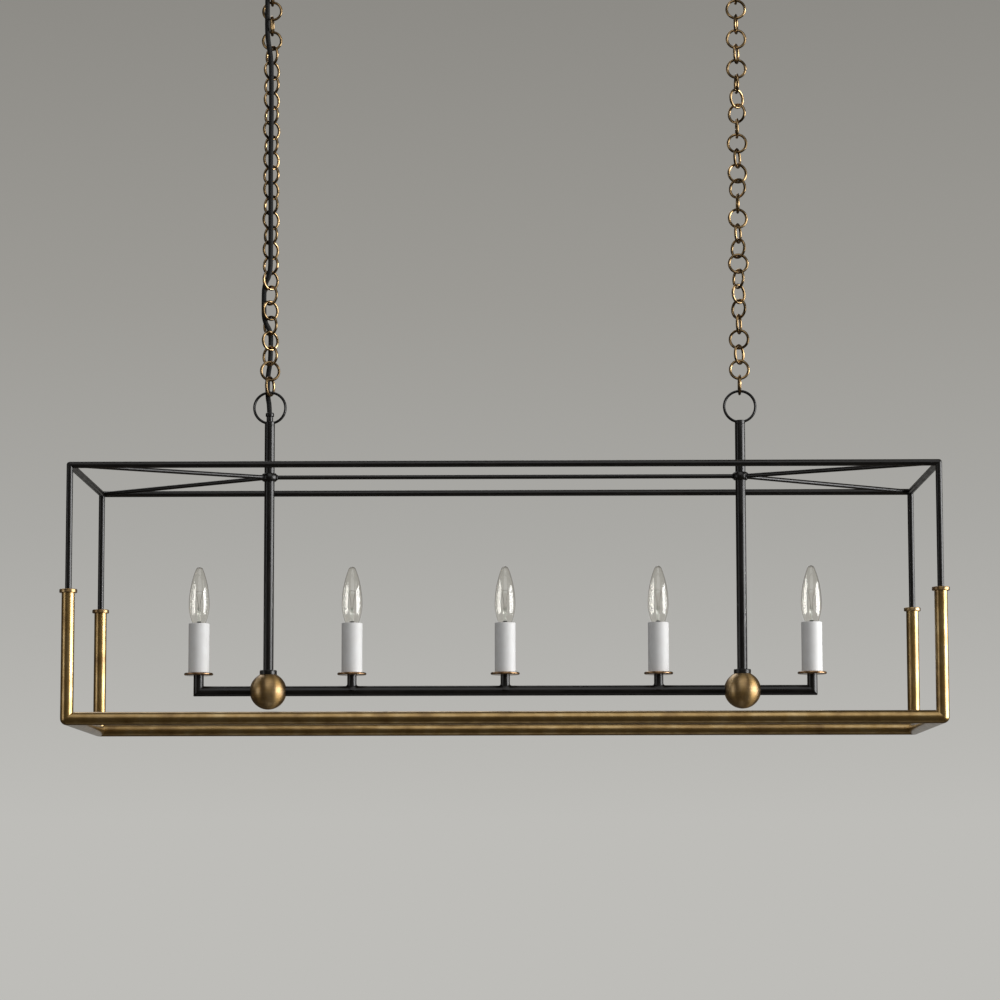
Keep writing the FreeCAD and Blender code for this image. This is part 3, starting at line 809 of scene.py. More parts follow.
@dataclass(frozen=True)
class LampWire(Finish):
    """Drawn nickel and tungsten wire inside a bulb: dark, bright only along one line."""

    colour: str = "#8E8A84"
    dull: str = "#5F5A54"
    stops: tuple[float, ...] = (0.4, 0.65)
    oxide_mm: float = 1.5
    even_rough: float = 0.35

    def paint(self, tree: Tree, shader: Node) -> None:
        """A little oxide in patches."""
        oxide = noise(tree, own_place(tree), self.oxide_mm)
        plug(tree, shader, {
            "Metallic": 1.0,
            "Base Color": self.shades(tree, oxide, self.colour, self.dull),
            "Roughness": self.even_rough})


@dataclass(frozen=True)
class BraidedCloth(Finish):
    """Black braided rayon over the cord: two sets of yarns that cross at a slant.

    Painted light: the yarns' crowns carry a painted sheen, the dips between them painted shade.
    """

    # Painted sheen colour for the crowns, painted shade colour for the dips.
    painted_sheen_crown: str = "#0F0E0D"
    dip: str = "#060606"
    stops: tuple[float, ...] = (0.0, 0.5)
    bump: float = 0.8
    even_rough: float = 0.82
    sheen: float = 0.04
    sheen_rough: float = 0.5
    yarn_mm: float = 1.1
    yarn_height_mm: float = 0.25
    slant_deg: float = 45.0

    def paint(self, tree: Tree, shader: Node) -> None:
        """Two slanted wave bands on the piece's own map: u round the cord, v along it, in
        metres, so that a band's width is the yarn's real width."""
        uv = add(tree, "ShaderNodeUVMap", uv_map="braid").outputs["UV"]
        bands = []
        for slant in (self.slant_deg, -self.slant_deg):
            slanted = add(tree, "ShaderNodeMapping",
                          {"Vector": uv, "Rotation": (0, 0, math.radians(slant))})
            bands.append(add(tree, "ShaderNodeTexWave",
                             {"Vector": slanted.outputs["Vector"], "Distortion": 0.0,
                              "Scale": per_metre(self.yarn_mm) / (2 * math.pi) * 2},
                             wave_type="BANDS", bands_direction="X").outputs["Fac"])
        crossing = joined(tree, "MULTIPLY", *bands)
        plug(tree, shader, {
            # Base colour: painted shade in the dips between yarns, painted sheen on their crowns.
            "Base Color": self.shades(tree, crossing, self.dip, self.painted_sheen_crown),
            "Roughness": self.even_rough,
            "Sheen Weight": self.sheen,
            "Sheen Roughness": self.sheen_rough,
            "Normal": relief(tree, crossing, self.yarn_height_mm, self.bump)})


BRASS_TUBE = BrushedBrass("brass tube, brushed and stained", "brushed_brass")
BRASS_BALL = BrushedBrass("brass, turned and stained", "brushed_brass", dark="#86632F",
                          middle="#BC9A62", light="#DCC090", rough=(0.46, 0.4),
                          lacquer_rough=0.34, line_height_mm=0.003, anisotropy=0.7)
AGED_BRASS = BrushedBrass("sheet brass, spun and aged", "aged_brass", dark="#7C5B3B",
                          middle="#A58158", light="#C09A70", rough=(0.38, 0.26),
                          cloud_mm=7.0)
SHELL_BRASS = BrushedBrass("sheet brass, drawn", "shell_brass", dark="#A88850",
                           middle="#C6A566", light="#DABB80", rough=(0.3, 0.2),
                           cloud_mm=5.0)
BLACK_STEEL = PowderCoat("steel, satin black powder coat", "black_steel")
BLACK_CANOPY = PowderCoat("spun steel, satin black powder coat", "canopy_black")
CHAIN_METAL = AntiqueChain("steel wire, antique brass plate", "chain_metal")
ZINC = ZincPlate("pressed steel, zinc plate", "zinc_steel")
WHITE_SLEEVE = CandleSleeve("moulded resin, matt white", "candle_white")
PHENOLIC = Phenolic("phenolic resin, moulded", "holder_black")
BULB_GLASS = ClearGlass("soda-lime glass, blown", "bulb_glass")
PRESS_GLASS = ClearGlass("lead glass, pressed", "mount_glass", tint="#F1F4F2", wave_mm=2.0)
LAMP_WIRE = LampWire("nickel wire, drawn", "mount_glass")
CORD_CLOTH = BraidedCloth("rayon yarn, braided", "cord_cloth")


def finished(piece: Piece, finish: Finish, body: str, *nodes: str) -> Piece:
    """Dresses a piece, rides it on its body and lets it stand for CAD nodes.

    Args:
        piece: The new piece.
        finish: Its finish.
        body: The CAD body it moves with.
        *nodes: The CAD nodes it stands for.

    Returns:
        The piece.
    """
    finish.dress(piece)
    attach(piece, body)
    if nodes:
        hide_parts(*nodes)
    log.info("piece %s on %s, %d faces", piece.name, body, len(piece.data.polygons))
    return piece


# ------------------------------------------------------------------ sub-assemblies
@dataclass
class CeilingMounts:
    """Two canopies with their knurled rings and loops, and the hardware inside them."""

    canopy_radius: float = 63.5
    canopy_depth: float = 25.0
    skirt: float = 5.0
    wall: float = 1.2
    rim_width: float = 2.6
    bore: float = 5.1
    ring_radius: float = 13.0
    ring_height: float = 6.0
    knurls: int = 30
    knurl_depth: float = 0.45
    knurl_reach: float = 1.2
    boss_radius: float = 6.6
    boss_height: float = 9.0
    loop_radius: float = 14.5
    loop_wire: float = 2.1
    weld_gap: float = 0.05
    shank_radius: float = 4.9

    def canopy(self, side: Side) -> Piece:
        """A shallow spun cup: skirt, round shoulder, flat bottom, and the same path inside."""
        shoulder = self.canopy_depth - self.skirt
        flat = self.canopy_radius - shoulder
        outline = np.vstack([
            [[self.canopy_radius - 0.4, 0.0], [self.canopy_radius, -0.4],
             [self.canopy_radius, -self.skirt + 0.3]],
            arc((flat, -self.skirt), shoulder, 0, -90, 20),
            [[flat - 0.4, -self.canopy_depth], [self.bore + 1.0, -self.canopy_depth],
             [self.bore + 0.3, -self.canopy_depth], [self.bore, -self.canopy_depth + 0.3],
             [self.bore, -self.canopy_depth + self.wall]],
            arc((flat, -self.skirt), shoulder - self.wall, -90, 0, 20),
            [[self.canopy_radius - self.wall, -self.wall],
             [self.canopy_radius - self.rim_width, -self.wall],
             [self.canopy_radius - self.rim_width, 0.0]]])
        skin = turned(Skin(), outline, (side.x, 0, 0), spans=112)
        return skin.piece("canopy_cup_" + side.word)

    def knurled_ring(self, skin: Skin, side: Side) -> Skin:
        """A turned ring whose outside radius dips by a rounded wave, once for each knurl."""
        spans = self.knurls * 8
        outline = rounded([(self.bore, 0, 0), (self.ring_radius, 0, 0.9),
                           (self.ring_radius, self.ring_height, 0.9),
                           (self.bore, self.ring_height, 0)])
        a = full_turn(spans)
        depth = self.knurl_depth * (0.5 - 0.5 * np.cos(self.knurls * a)) ** 2
        inwards = outline[:, :1] - self.ring_radius + self.knurl_reach
        share = np.clip(inwards / self.knurl_reach, 0, 1)
        r = outline[:, :1] - share * depth
        bottom = PLACES.canopy_bottom_z - self.ring_height
        points = spun(r, outline[:, 1:2], a, (side.x, 0, bottom))
        return skin.add(points, points * [1, 1, 0.5], wrap_u=True, wrap_v=True)

    def loop(self, side: Side) -> Piece:
        """A cast ring with its boss: the boss's foot spreads onto the wire."""
        x = side.x
        skin = Skin()
        wire_ring(skin, np.array([x, 0, PLACES.loop_z]), self.loop_radius, self.loop_wire,
                  turn_deg=0, seam_deg=90, gap=self.weld_gap)
        boss_bottom = PLACES.canopy_bottom_z - self.ring_height - self.boss_height
        outline = rounded([(0, 0.4, 0), (self.boss_radius - 1.5, 0.4, 0.8),
                           (self.boss_radius, 2.6, 1.2),
                           (self.boss_radius, self.boss_height, 0.5), (0, self.boss_height, 0)])
        turned(skin, outline, (x, 0, boss_bottom), spans=56, closed=False)
        rod(skin, self.shank_radius, (x, 0, boss_bottom + self.boss_height - 1), (x, 0, -0.3))
        return skin.piece("cast_loop_" + side.word)

    def build(self) -> None:
        """Builds and dresses everything on the ceiling body."""
        rings = Skin()
        for side in Side:
            finished(self.canopy(side), BLACK_CANOPY, "ceiling", "canopy_" + side.word)
            finished(self.loop(side), BLACK_CANOPY, "ceiling", "canopy_loop_" + side.word)
            self.knurled_ring(rings, side)
        made = rings.piece("knurled_rings", sharp_deg=50)
        finished(made, BLACK_CANOPY, "ceiling", "collar_rings")
        for node in ("crossbars", "crossbar_hardware"):
            ZINC.dress(frame["nodes"][node])


# Degrees that each link is turned about the vertical, from the bottom link up.
LINK_TURNS = {
    Side.LEFT: (70, 18, -40, 42, -45, 45, -44, 45, -38, 44, -45, 40, -42, 45, -36, 43, -45, 39,
                -44, 45, -40, 45, -50, 0, 88, -4, 90),
    Side.RIGHT: (90, 0, 60, -12, 75, -50, 48, -62, 0, -50, 70, 15, 90, -40, 15, 70, 0, 90, -35,
                 45, -85, 0, 75, 0, 80, 0, 90)}
# Links whose seam stands further open than the others', with the gap in millimetres.
OPEN_LINKS = {Side.LEFT: {}, Side.RIGHT: {17: 1.1}}


@dataclass
class Chain:
    """One chain of round links, each bent from wire and butted at a seam."""

    side: Side
    turns: tuple[float, ...]
    radius: float = 11.45
    wire: float = 1.7
    gap: float = 0.22
    seam_wander_deg: float = 11.0
    open_links: dict[int, float] = field(default_factory=dict)

    def link(self, skin: Skin, index: int) -> Skin:
        """Adds one link; the seams alternate from side to side and wander a little."""
        centre = np.array([self.side.x, 0,
                           PLACES.bottom_link_z + index * PLACES.link_pitch])
        wander = self.seam_wander_deg * math.sin(2.3 * index + self.side.value)
        seam = (0 if index % 2 else 180) + wander
        return wire_ring(skin, centre, self.radius, self.wire, self.turns[index], seam,
                         self.open_links.get(index, self.gap))

    def build(self) -> None:
        """Builds the top link, the middle links together, and the bottom link."""
        word = self.side.word
        last = len(self.turns) - 1
        for body, node, indices in (("top_link", "top_link_", [last]),
                                    ("chain", "chain_", range(1, last)),
                                    ("bottom_link", "bottom_link_", [0])):
            skin = Skin()
            for index in indices:
                self.link(skin, index)
            finished(skin.piece("round_" + node + word, ROUND_DEG), CHAIN_METAL, word + "_" + body,
                     node + word)


@dataclass(frozen=True)
class CordPart:
    """A stretch of cord up to top_z, lying between two bodies from start_z to end_z."""

    name: str
    top_z: float
    start_body: str
    end_body: str | None = None
    start_z: float = 0.0
    end_z: float = 0.0


@dataclass
class SupplyCord:
    """The cloth-covered cord, from inside the left stem, laced up the chain to the canopy."""

    radius: float = 3.1
    spans: int = 20
    in_stem: float = 26.0
    top_z: float = -0.3
    parts: tuple[CordPart, ...] = (
        CordPart("cord_in_ring", -572.0, "fixture", "left_bottom_link", -590.0, -574.0),
        CordPart("cord_at_bottom_link", -528.0, "left_bottom_link", "left_chain", -571.0, -540.0),
        CordPart("cord_on_chain", -124.0, "left_chain"),
        CordPart("cord_at_top_link", -77.0, "left_chain", "left_top_link", -112.0, -79.0),
        CordPart("cord_in_canopy", math.inf, "left_top_link", "ceiling", -75.0, -52.0))
    route: tuple[Point, ...] = (
        (0.0, 0.0, -1.4), (-3.6, 7.4, -0.62), (-3.6, 7.5, 0.7), (-0.6, 8.0, 1.6),
        (0.0, 8.2, 2.6), (0.0, 8.1, 3.68), (-8.1, 0.0, 4.32), (-8.4, 0.0, 5.5),
        (-8.1, 0.0, 6.68), (0.0, -8.1, 7.32), (0.5, -7.9, 8.8), (0.2, -7.9, 11.6),
        (-0.4, -7.7, 14.9), (0.3, -7.8, 18.0), (-0.1, -7.8, 20.2), (-0.3, -7.9, 21.7),
        (-5.8, -5.8, 23.2), (-5.7, -5.8, 25.2), (-5.6, -6.2, 26.65), (0.0, 0.0, 27.4))

    def centreline(self) -> np.ndarray:
        """The route's smooth line, read from a NURBS curve through its control points."""
        rows = [(-PLACES.stem_x, 0.0, PLACES.stem_top_z - self.in_stem)]
        rows += [(x - PLACES.stem_x, y, PLACES.bottom_link_z + h * PLACES.link_pitch)
                 for x, y, h in self.route]
        rows += [(-PLACES.stem_x, 0.0, self.top_z)]
        curve = bpy.data.curves.new("cord_line", "CURVE")
        curve.dimensions = "3D"
        curve.resolution_u = 16
        spline = curve.splines.new("NURBS")
        spline.points.add(len(rows) - 1)
        flat = np.hstack([np.array(rows) * MM, np.ones((len(rows), 1))])
        spline.points.foreach_set("co", flat.ravel())
        spline.order_u = 3
        spline.use_endpoint_u = True
        holder = bpy.data.objects.new("cord_line", curve)
        line = bpy.data.meshes.new_from_object(holder)
        points = np.zeros(len(line.vertices) * 3)
        line.vertices.foreach_get("co", points)
        bpy.data.objects.remove(holder)
        bpy.data.curves.remove(curve)
        bpy.data.meshes.remove(line)
        points = points.reshape(-1, 3) / MM
        return points if points[0, 2] < points[-1, 2] else points[::-1]

    def tube(self, name: str, line: np.ndarray, start: float) -> Piece:
        """A round tube along a line that runs nearly straight up.

        The map holds the way round and the way along.
        """
        run = run_along(line)
        a = np.linspace(0, 2 * math.pi, self.spans + 1)
        points = sections(line, np.gradient(line, run, axis=0), np.array([1.0, 0, 0]),
                          self.radius, a)
        along = np.concatenate([run[:1], run, run[-1:]])[:, None] + start
        flow = np.stack([self.radius * a + 0 * along, along + 0 * a, 0 * along + 0 * a], -1)
        piece = Skin().add(points, flow, inside=tuple(line[len(line) // 2])).piece(name)
        mesh = piece.data
        corners = np.zeros(len(mesh.loops) * 3, np.float32)
        mesh.attributes["grain"].data.foreach_get("vector", corners)
        uv = mesh.uv_layers.new(name="braid")
        uv.data.foreach_set("uv", np.ascontiguousarray(corners.reshape(-1, 3)[:, :2]).ravel())
        return piece

    def build(self) -> None:
        """Splits the cord into its parts and dresses each; a part on one body rides on it, the
        others stay put.
        """
        line = self.centreline()
        run = run_along(line)
        log.info("cord's line is %.1f mm long", run[-1])
        low = 0
        for part in self.parts:
            high = min(int(np.searchsorted(line[:, 2], part.top_z)), len(line) - 1)
            path = line[low:high + 1]
            piece = self.tube(part.name, path, run[low])
            CORD_CLOTH.dress(piece)
            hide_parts("supply_cord")
            if part.end_body is None:
                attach(piece, part.start_body)
            else:
                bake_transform(piece)
            low = high


@dataclass
class Stems:
    """Hanging rings, stems, hubs, the tie bar and the braces."""

    ring_outer: float = 21.2
    ring_thickness: float = 3.3
    ring_width: float = 5.8
    stem_radius: float = 6.35
    ball_top: float = 12.0
    hub_radius: float = 10.0
    hub_height: float = 10.0
    hub_flat: float = 1.6
    brace_radius: float = 2.7
    brace_sink: float = 1.0
    weld: float = 1.4
    weld_sink: float = 0.35

    def hang_ring(self, side: Side) -> Piece:
        """An oval bar bent into a ring, on a short foot.

        The bar's section is an ellipse, (w / a)^2 + (t / b)^2 = 1, carried round the ring with
        its long axis along the ring's own.
        """
        x = side.x
        mean = self.ring_outer - self.ring_thickness / 2
        a = full_turn(128)[:, None]
        b = full_turn(24)[None]
        c, s = np.cos(b), np.sin(b)
        t = self.ring_thickness / 2 * c
        w = self.ring_width / 2 * s
        r = mean + t
        points = np.stack([x + r * np.cos(a), w + 0 * a, PLACES.hang_ring_z + r * np.sin(a)], -1)
        k = Skin.STRETCH
        flow = np.stack([t + 0 * a, w + 0 * a, k * mean * a + 0 * b], -1)
        skin = Skin().add(points, flow, wrap_u=True, wrap_v=True)
        foot = PLACES.foot_top_z - PLACES.stem_top_z
        outline = rounded([(0, 0, 0), (self.stem_radius, 0, 0.25),
                           (self.stem_radius, foot, 1.0), (0, foot, 0)])
        turned(skin, outline, (x, 0, PLACES.stem_top_z), spans=56, closed=False)
        return skin.piece("ring_and_foot_" + side.word)

    def bushing(self) -> Piece:
        """Narrow neck and rounded flange round the cord, turned."""
        outline = rounded([(3.5, 0, 0), (4.15, 0, 0.2), (4.15, 6.0, 0.3), (5.3, 6.3, 0.8),
                           (5.3, 10.5, 1.4), (3.5, 11.7, 0.4)])
        skin = turned(Skin(), outline, (-PLACES.stem_x, 0, PLACES.foot_top_z), spans=48)
        return skin.piece("bushing_neck")

    def stem(self, side: Side) -> Piece:
        """The upright tube from the ball's socket to the ring's foot."""
        x = side.x
        skin = rod(Skin(), self.stem_radius, (x, 0, PLACES.arm_z + self.ball_top),
                   (x, 0, PLACES.stem_top_z), spans=56, edge=0.35)
        return skin.piece("stem_tube_" + side.word)

    def hub(self, skin: Skin, side: Side) -> Skin:
        """A turned bead: a bulging side between two flats with eased edges."""
        half = self.hub_height / 2
        flat = self.stem_radius + 0.2 + self.hub_flat
        swell = self.hub_radius - flat
        radius = (half ** 2 + swell ** 2) / 2 / swell
        reach = math.degrees(math.asin(half / radius))
        outline = np.vstack([[[self.stem_radius, -half], [flat - 0.3, -half]],
                             arc((self.hub_radius - radius, 0), radius, -reach + 2, reach - 2, 12),
                             [[flat - 0.3, half], [self.stem_radius, half]]])
        return turned(skin, outline, (side.x, 0, PLACES.hub_z), spans=56)

    def thin_bars(self) -> tuple[Piece, Piece]:
        """The tie bar between the hubs, and the four braces out to the upper corners."""
        sink = self.hub_radius - self.brace_sink
        foot = self.hub_radius - self.weld_sink
        z = PLACES.hub_z
        tie = rod(Skin(), self.brace_radius, (sink - PLACES.stem_x, 0, z),
                  (PLACES.stem_x - sink, 0, z), spans=32)
        for side in Side:
            self.bead(tie, np.array([side.value * (PLACES.stem_x - foot), 0, z]),
                      np.array([-side.value, 0, 0.0]))
        braces = Skin()
        for side in Side:
            hub = np.array([side.x, 0, z])
            for back in (-1, 1):
                corner = np.array([side.value * PLACES.corner_x, back * PLACES.corner_y,
                                   PLACES.upper_z])
                way = (corner - hub) / np.linalg.norm(corner - hub)
                rod(braces, self.brace_radius, tuple(hub + way * sink),
                    tuple(corner - way * 2.5), spans=32)
                self.bead(braces, hub + way * foot, way)
        return tie.piece("tie_rod"), braces.piece("brace_rods")

    def bead(self, skin: Skin, at: np.ndarray, way: np.ndarray) -> Skin:
        """Adds a fillet of weld round a thin bar where it meets the hub.

        The radius falls from bar + weld to the bar as 1 - sin, over the weld's length.
        """
        u, v = across(way)
        q = np.radians(np.linspace(0, 90, 6))
        r = self.brace_radius + self.weld * (1 - np.sin(q))
        t = self.weld * (1 - np.cos(q))
        r = np.concatenate([[0], r, [0]])
        t = np.concatenate([[t[0]], t, [t[-1]]])
        points = at + t[:, None, None] * way + r[:, None, None] * circle(u, v, 32)[None]
        return skin.add(points, wrap_v=True)

    def build(self) -> None:
        """Builds and dresses the pieces, all on the fixture."""
        hubs = Skin()
        for side in Side:
            word = side.word
            finished(self.hang_ring(side), BLACK_STEEL, "fixture", "hang_ring_" + word)
            finished(self.stem(side), BLACK_STEEL, "fixture", "stem_" + word)
            self.hub(hubs, side)
        finished(hubs.piece("hub_beads"), BLACK_STEEL, "fixture", "brace_hubs")
        finished(self.bushing(), BLACK_STEEL, "fixture", "cord_bushing")
        tie, braces = self.thin_bars()
        finished(tie, BLACK_STEEL, "fixture", "tie_bar")
        finished(braces, BLACK_STEEL, "fixture", "braces")


@dataclass
class OpenFrame:
    """The open frame: brass rails below, thin black rods above, posts between them."""

    tube: float = 7.9375
    tube_reach: float = 14.0
    rod: float = 3.97
    rod_reach: float = 9.0
    sleeve_top: float = 151.5
    collar_radius: float = 10.76
    collar_height: float = 4.6
    edge: float = 0.05

    def corners(self, radius: float, reach: float, z: float, leg_z: int) -> Skin:
        """Four three-way corners, each of three mitred legs and a rounded outside."""
        skin = Skin()
        for sx, sy in CORNER_SIGNS:
            corner = np.array([sx * PLACES.corner_x, sy * PLACES.corner_y, z])
            ways = [np.array([-sx, 0, 0.0]), np.array([0, -sy, 0.0]),
                    np.array([0, 0, float(leg_z)])]
            for k in range(3):
                mitred_leg(skin, radius, corner, ways[k], ways[(k + 1) % 3],
                           ways[(k + 2) % 3], reach)
            corner_cap(skin, radius, corner, ways)
        return skin

    def rails(self, radius: float, reach: float, z: float) -> tuple[Skin, Skin, Skin]:
        """Front rail, back rail and the two end rails, from corner to corner."""
        x, y = PLACES.corner_x, PLACES.corner_y
        front, back = (rod(Skin(), radius, (reach - x, sy * y, z), (x - reach, sy * y, z), 48,
                           self.edge) for sy in (-1, 1))
        ends = Skin()
        for sx in (-1, 1):
            rod(ends, radius, (sx * x, reach - y, z), (sx * x, y - reach, z), 48, self.edge)
        return front, back, ends

    def posts(self) -> tuple[Skin, Skin, Skin]:
        """Brass sleeves, black rods above them, and the flanged collars where they meet."""
        sleeves, rods, collars = Skin(), Skin(), Skin()
        lower, upper = PLACES.lower_z, PLACES.upper_z
        seat = lower + self.sleeve_top
        flange = rounded([(self.rod - 0.1, 0, 0), (self.collar_radius, 0, 0.9),
                          (self.collar_radius, self.collar_height, 1.1),
                          (self.rod + 0.5, self.collar_height, 0.25),
                          (self.rod + 0.2, self.collar_height - 0.8, 0)])
        for sx, sy in CORNER_SIGNS:
            x, y = sx * PLACES.corner_x, sy * PLACES.corner_y
            rod(sleeves, self.tube, (x, y, lower + self.tube_reach), (x, y, seat), 48, self.edge)
            rod(rods, self.rod, (x, y, seat), (x, y, upper - self.rod_reach), 40, self.edge)
            turned(collars, flange, (x, y, seat), spans=56)
        return sleeves, rods, collars

    def build(self) -> None:
        """Builds and dresses the frame, all on the fixture."""
        for level, radius, reach, z, leg, finish, word in (
                ("bottom", self.tube, self.tube_reach, PLACES.lower_z, 1, BRASS_TUBE, "brass"),
                ("top", self.rod, self.rod_reach, PLACES.upper_z, -1, BLACK_STEEL, "black")):
            made = self.corners(radius, reach, z, leg).piece(word + "_corner_joints", MITRE_DEG)
            finished(made, finish, "fixture", level + "_corners")
            for place, skin in zip(("front", "back", "ends"), self.rails(radius, reach, z)):
                finished(skin.piece(f"{word}_rail_{place}", ROUND_DEG), finish, "fixture",
                         f"{level}_rail_{place}")
        sleeves, rods, collars = self.posts()
        finished(sleeves.piece("brass_posts", ROUND_DEG), BRASS_TUBE, "fixture", "post_sleeves")
        finished(rods.piece("black_posts", ROUND_DEG), BLACK_STEEL, "fixture", "post_rods")
        finished(collars.piece("post_flanges"), BRASS_BALL, "fixture", "post_collars")


@dataclass
class Arm:
    """The black arm with its stubs, and the two brass balls that carry it."""

    arm_radius: float = 6.35
    stub_radius: float = 5.8
    fillet: float = 2.6
    ball_radius: float = 23.0
    ball_flat: float = 20.4
    socket: float = 14.0
    collar_radius: float = 10.7
    collar_height: float = 5.6
    easing: float = 0.9

    def balls(self) -> Piece:
        """Turned balls with a small flat on top; the arms go into them at the sides."""
        top = math.degrees(math.asin(self.ball_flat / self.ball_radius))
        rim = self.ball_radius * math.cos(math.radians(top))
        outline = np.vstack([arc((0, 0), self.ball_radius, -90, top, 40),
                             [[rim - 0.3, self.ball_flat], [0, self.ball_flat]]])
        outline[0, 0] = 0
        both = [side.x for side in Side]
        return turned_row(Skin(), outline, both, PLACES.arm_z, 96, False).piece("brass_balls")

    def collars(self) -> Piece:
        """Black collars on the balls' flats, with an eased upper edge."""
        outline = rounded([(6.2, 0, 0), (self.collar_radius, 0, 0.3),
                           (self.collar_radius, self.collar_height, 1.0),
                           (6.2, self.collar_height, 0)])
        both = [side.x for side in Side]
        seat = PLACES.arm_z + self.ball_flat
        return turned_row(Skin(), outline, both, seat, 56).piece("stem_collars")

    def centre(self) -> Piece:
        """The tube between the balls, with a filleted stub under each middle candle."""
        reach = PLACES.stem_x - self.socket
        skin = rod(Skin(), self.arm_radius, (-reach, 0, PLACES.arm_z), (reach, 0, PLACES.arm_z),
                   spans=48)
        for x in PLACES.candle_x[1:-1]:
            flare(skin, self.arm_radius, self.stub_radius, self.fillet,
                  np.array([x, 0, PLACES.arm_z]), PLACES.dish_z)
        return skin.piece("arm_tube")

    def end(self, skin: Skin, side: Side) -> Skin:
        """Adds a tube that turns up in a square, mitred elbow under the outer candle.

        The circle's point at height h above the tube's middle runs outwards until it stands h
        inwards of the upright's middle, and then goes straight up. A quarter arc of radius
        easing, with x and z moving as sin q and 1 - cos q, softens that turn.
        """
        out = float(side.value)
        x0 = out * (PLACES.stem_x + self.socket)
        x1 = out * abs(PLACES.candle_x[0])
        e = self.easing
        p = full_turn(48)
        height, depth = self.arm_radius * np.cos(p), self.arm_radius * np.sin(p)
        q = np.radians(np.linspace(0, 90, 6))[:, None]
        flat = 1.5
        around_x = x1 - out * (height + e - e * np.sin(q))
        around_z = PLACES.arm_z + height + e - e * np.cos(q)
        first_x = np.stack([x0 + 0 * p, x0 + 0 * p, x1 - out * (height + e + flat)])
        first_z = PLACES.arm_z + np.stack([0 * p, height, height])
        last_x = np.stack([x1 - out * height, x1 - out * height, x1 + 0 * p])
        last_z = np.stack([PLACES.arm_z + height + e + flat, PLACES.dish_z + 0 * p,
                           PLACES.dish_z + 0 * p])
        across_y = np.vstack([0 * p[None], np.tile(depth, (len(q) + 4, 1)), 0 * p[None]])
        points = np.stack([np.vstack([first_x, around_x, last_x]), across_y,
                           np.vstack([first_z, around_z, last_z])], -1)
        return skin.add(points, wrap_v=True)

    def build(self) -> None:
        """Builds and dresses the arm, all on the fixture."""
        finished(self.balls(), BRASS_BALL, "fixture", "balls")
        finished(self.collars(), BLACK_STEEL, "fixture", "ball_collars")
        finished(self.centre(), BLACK_STEEL, "fixture", "centre_arm")
        ends = Skin()
        for side in Side:
            self.end(ends, side)
        finished(ends.piece("end_tubes"), BLACK_STEEL, "fixture", "end_arms")


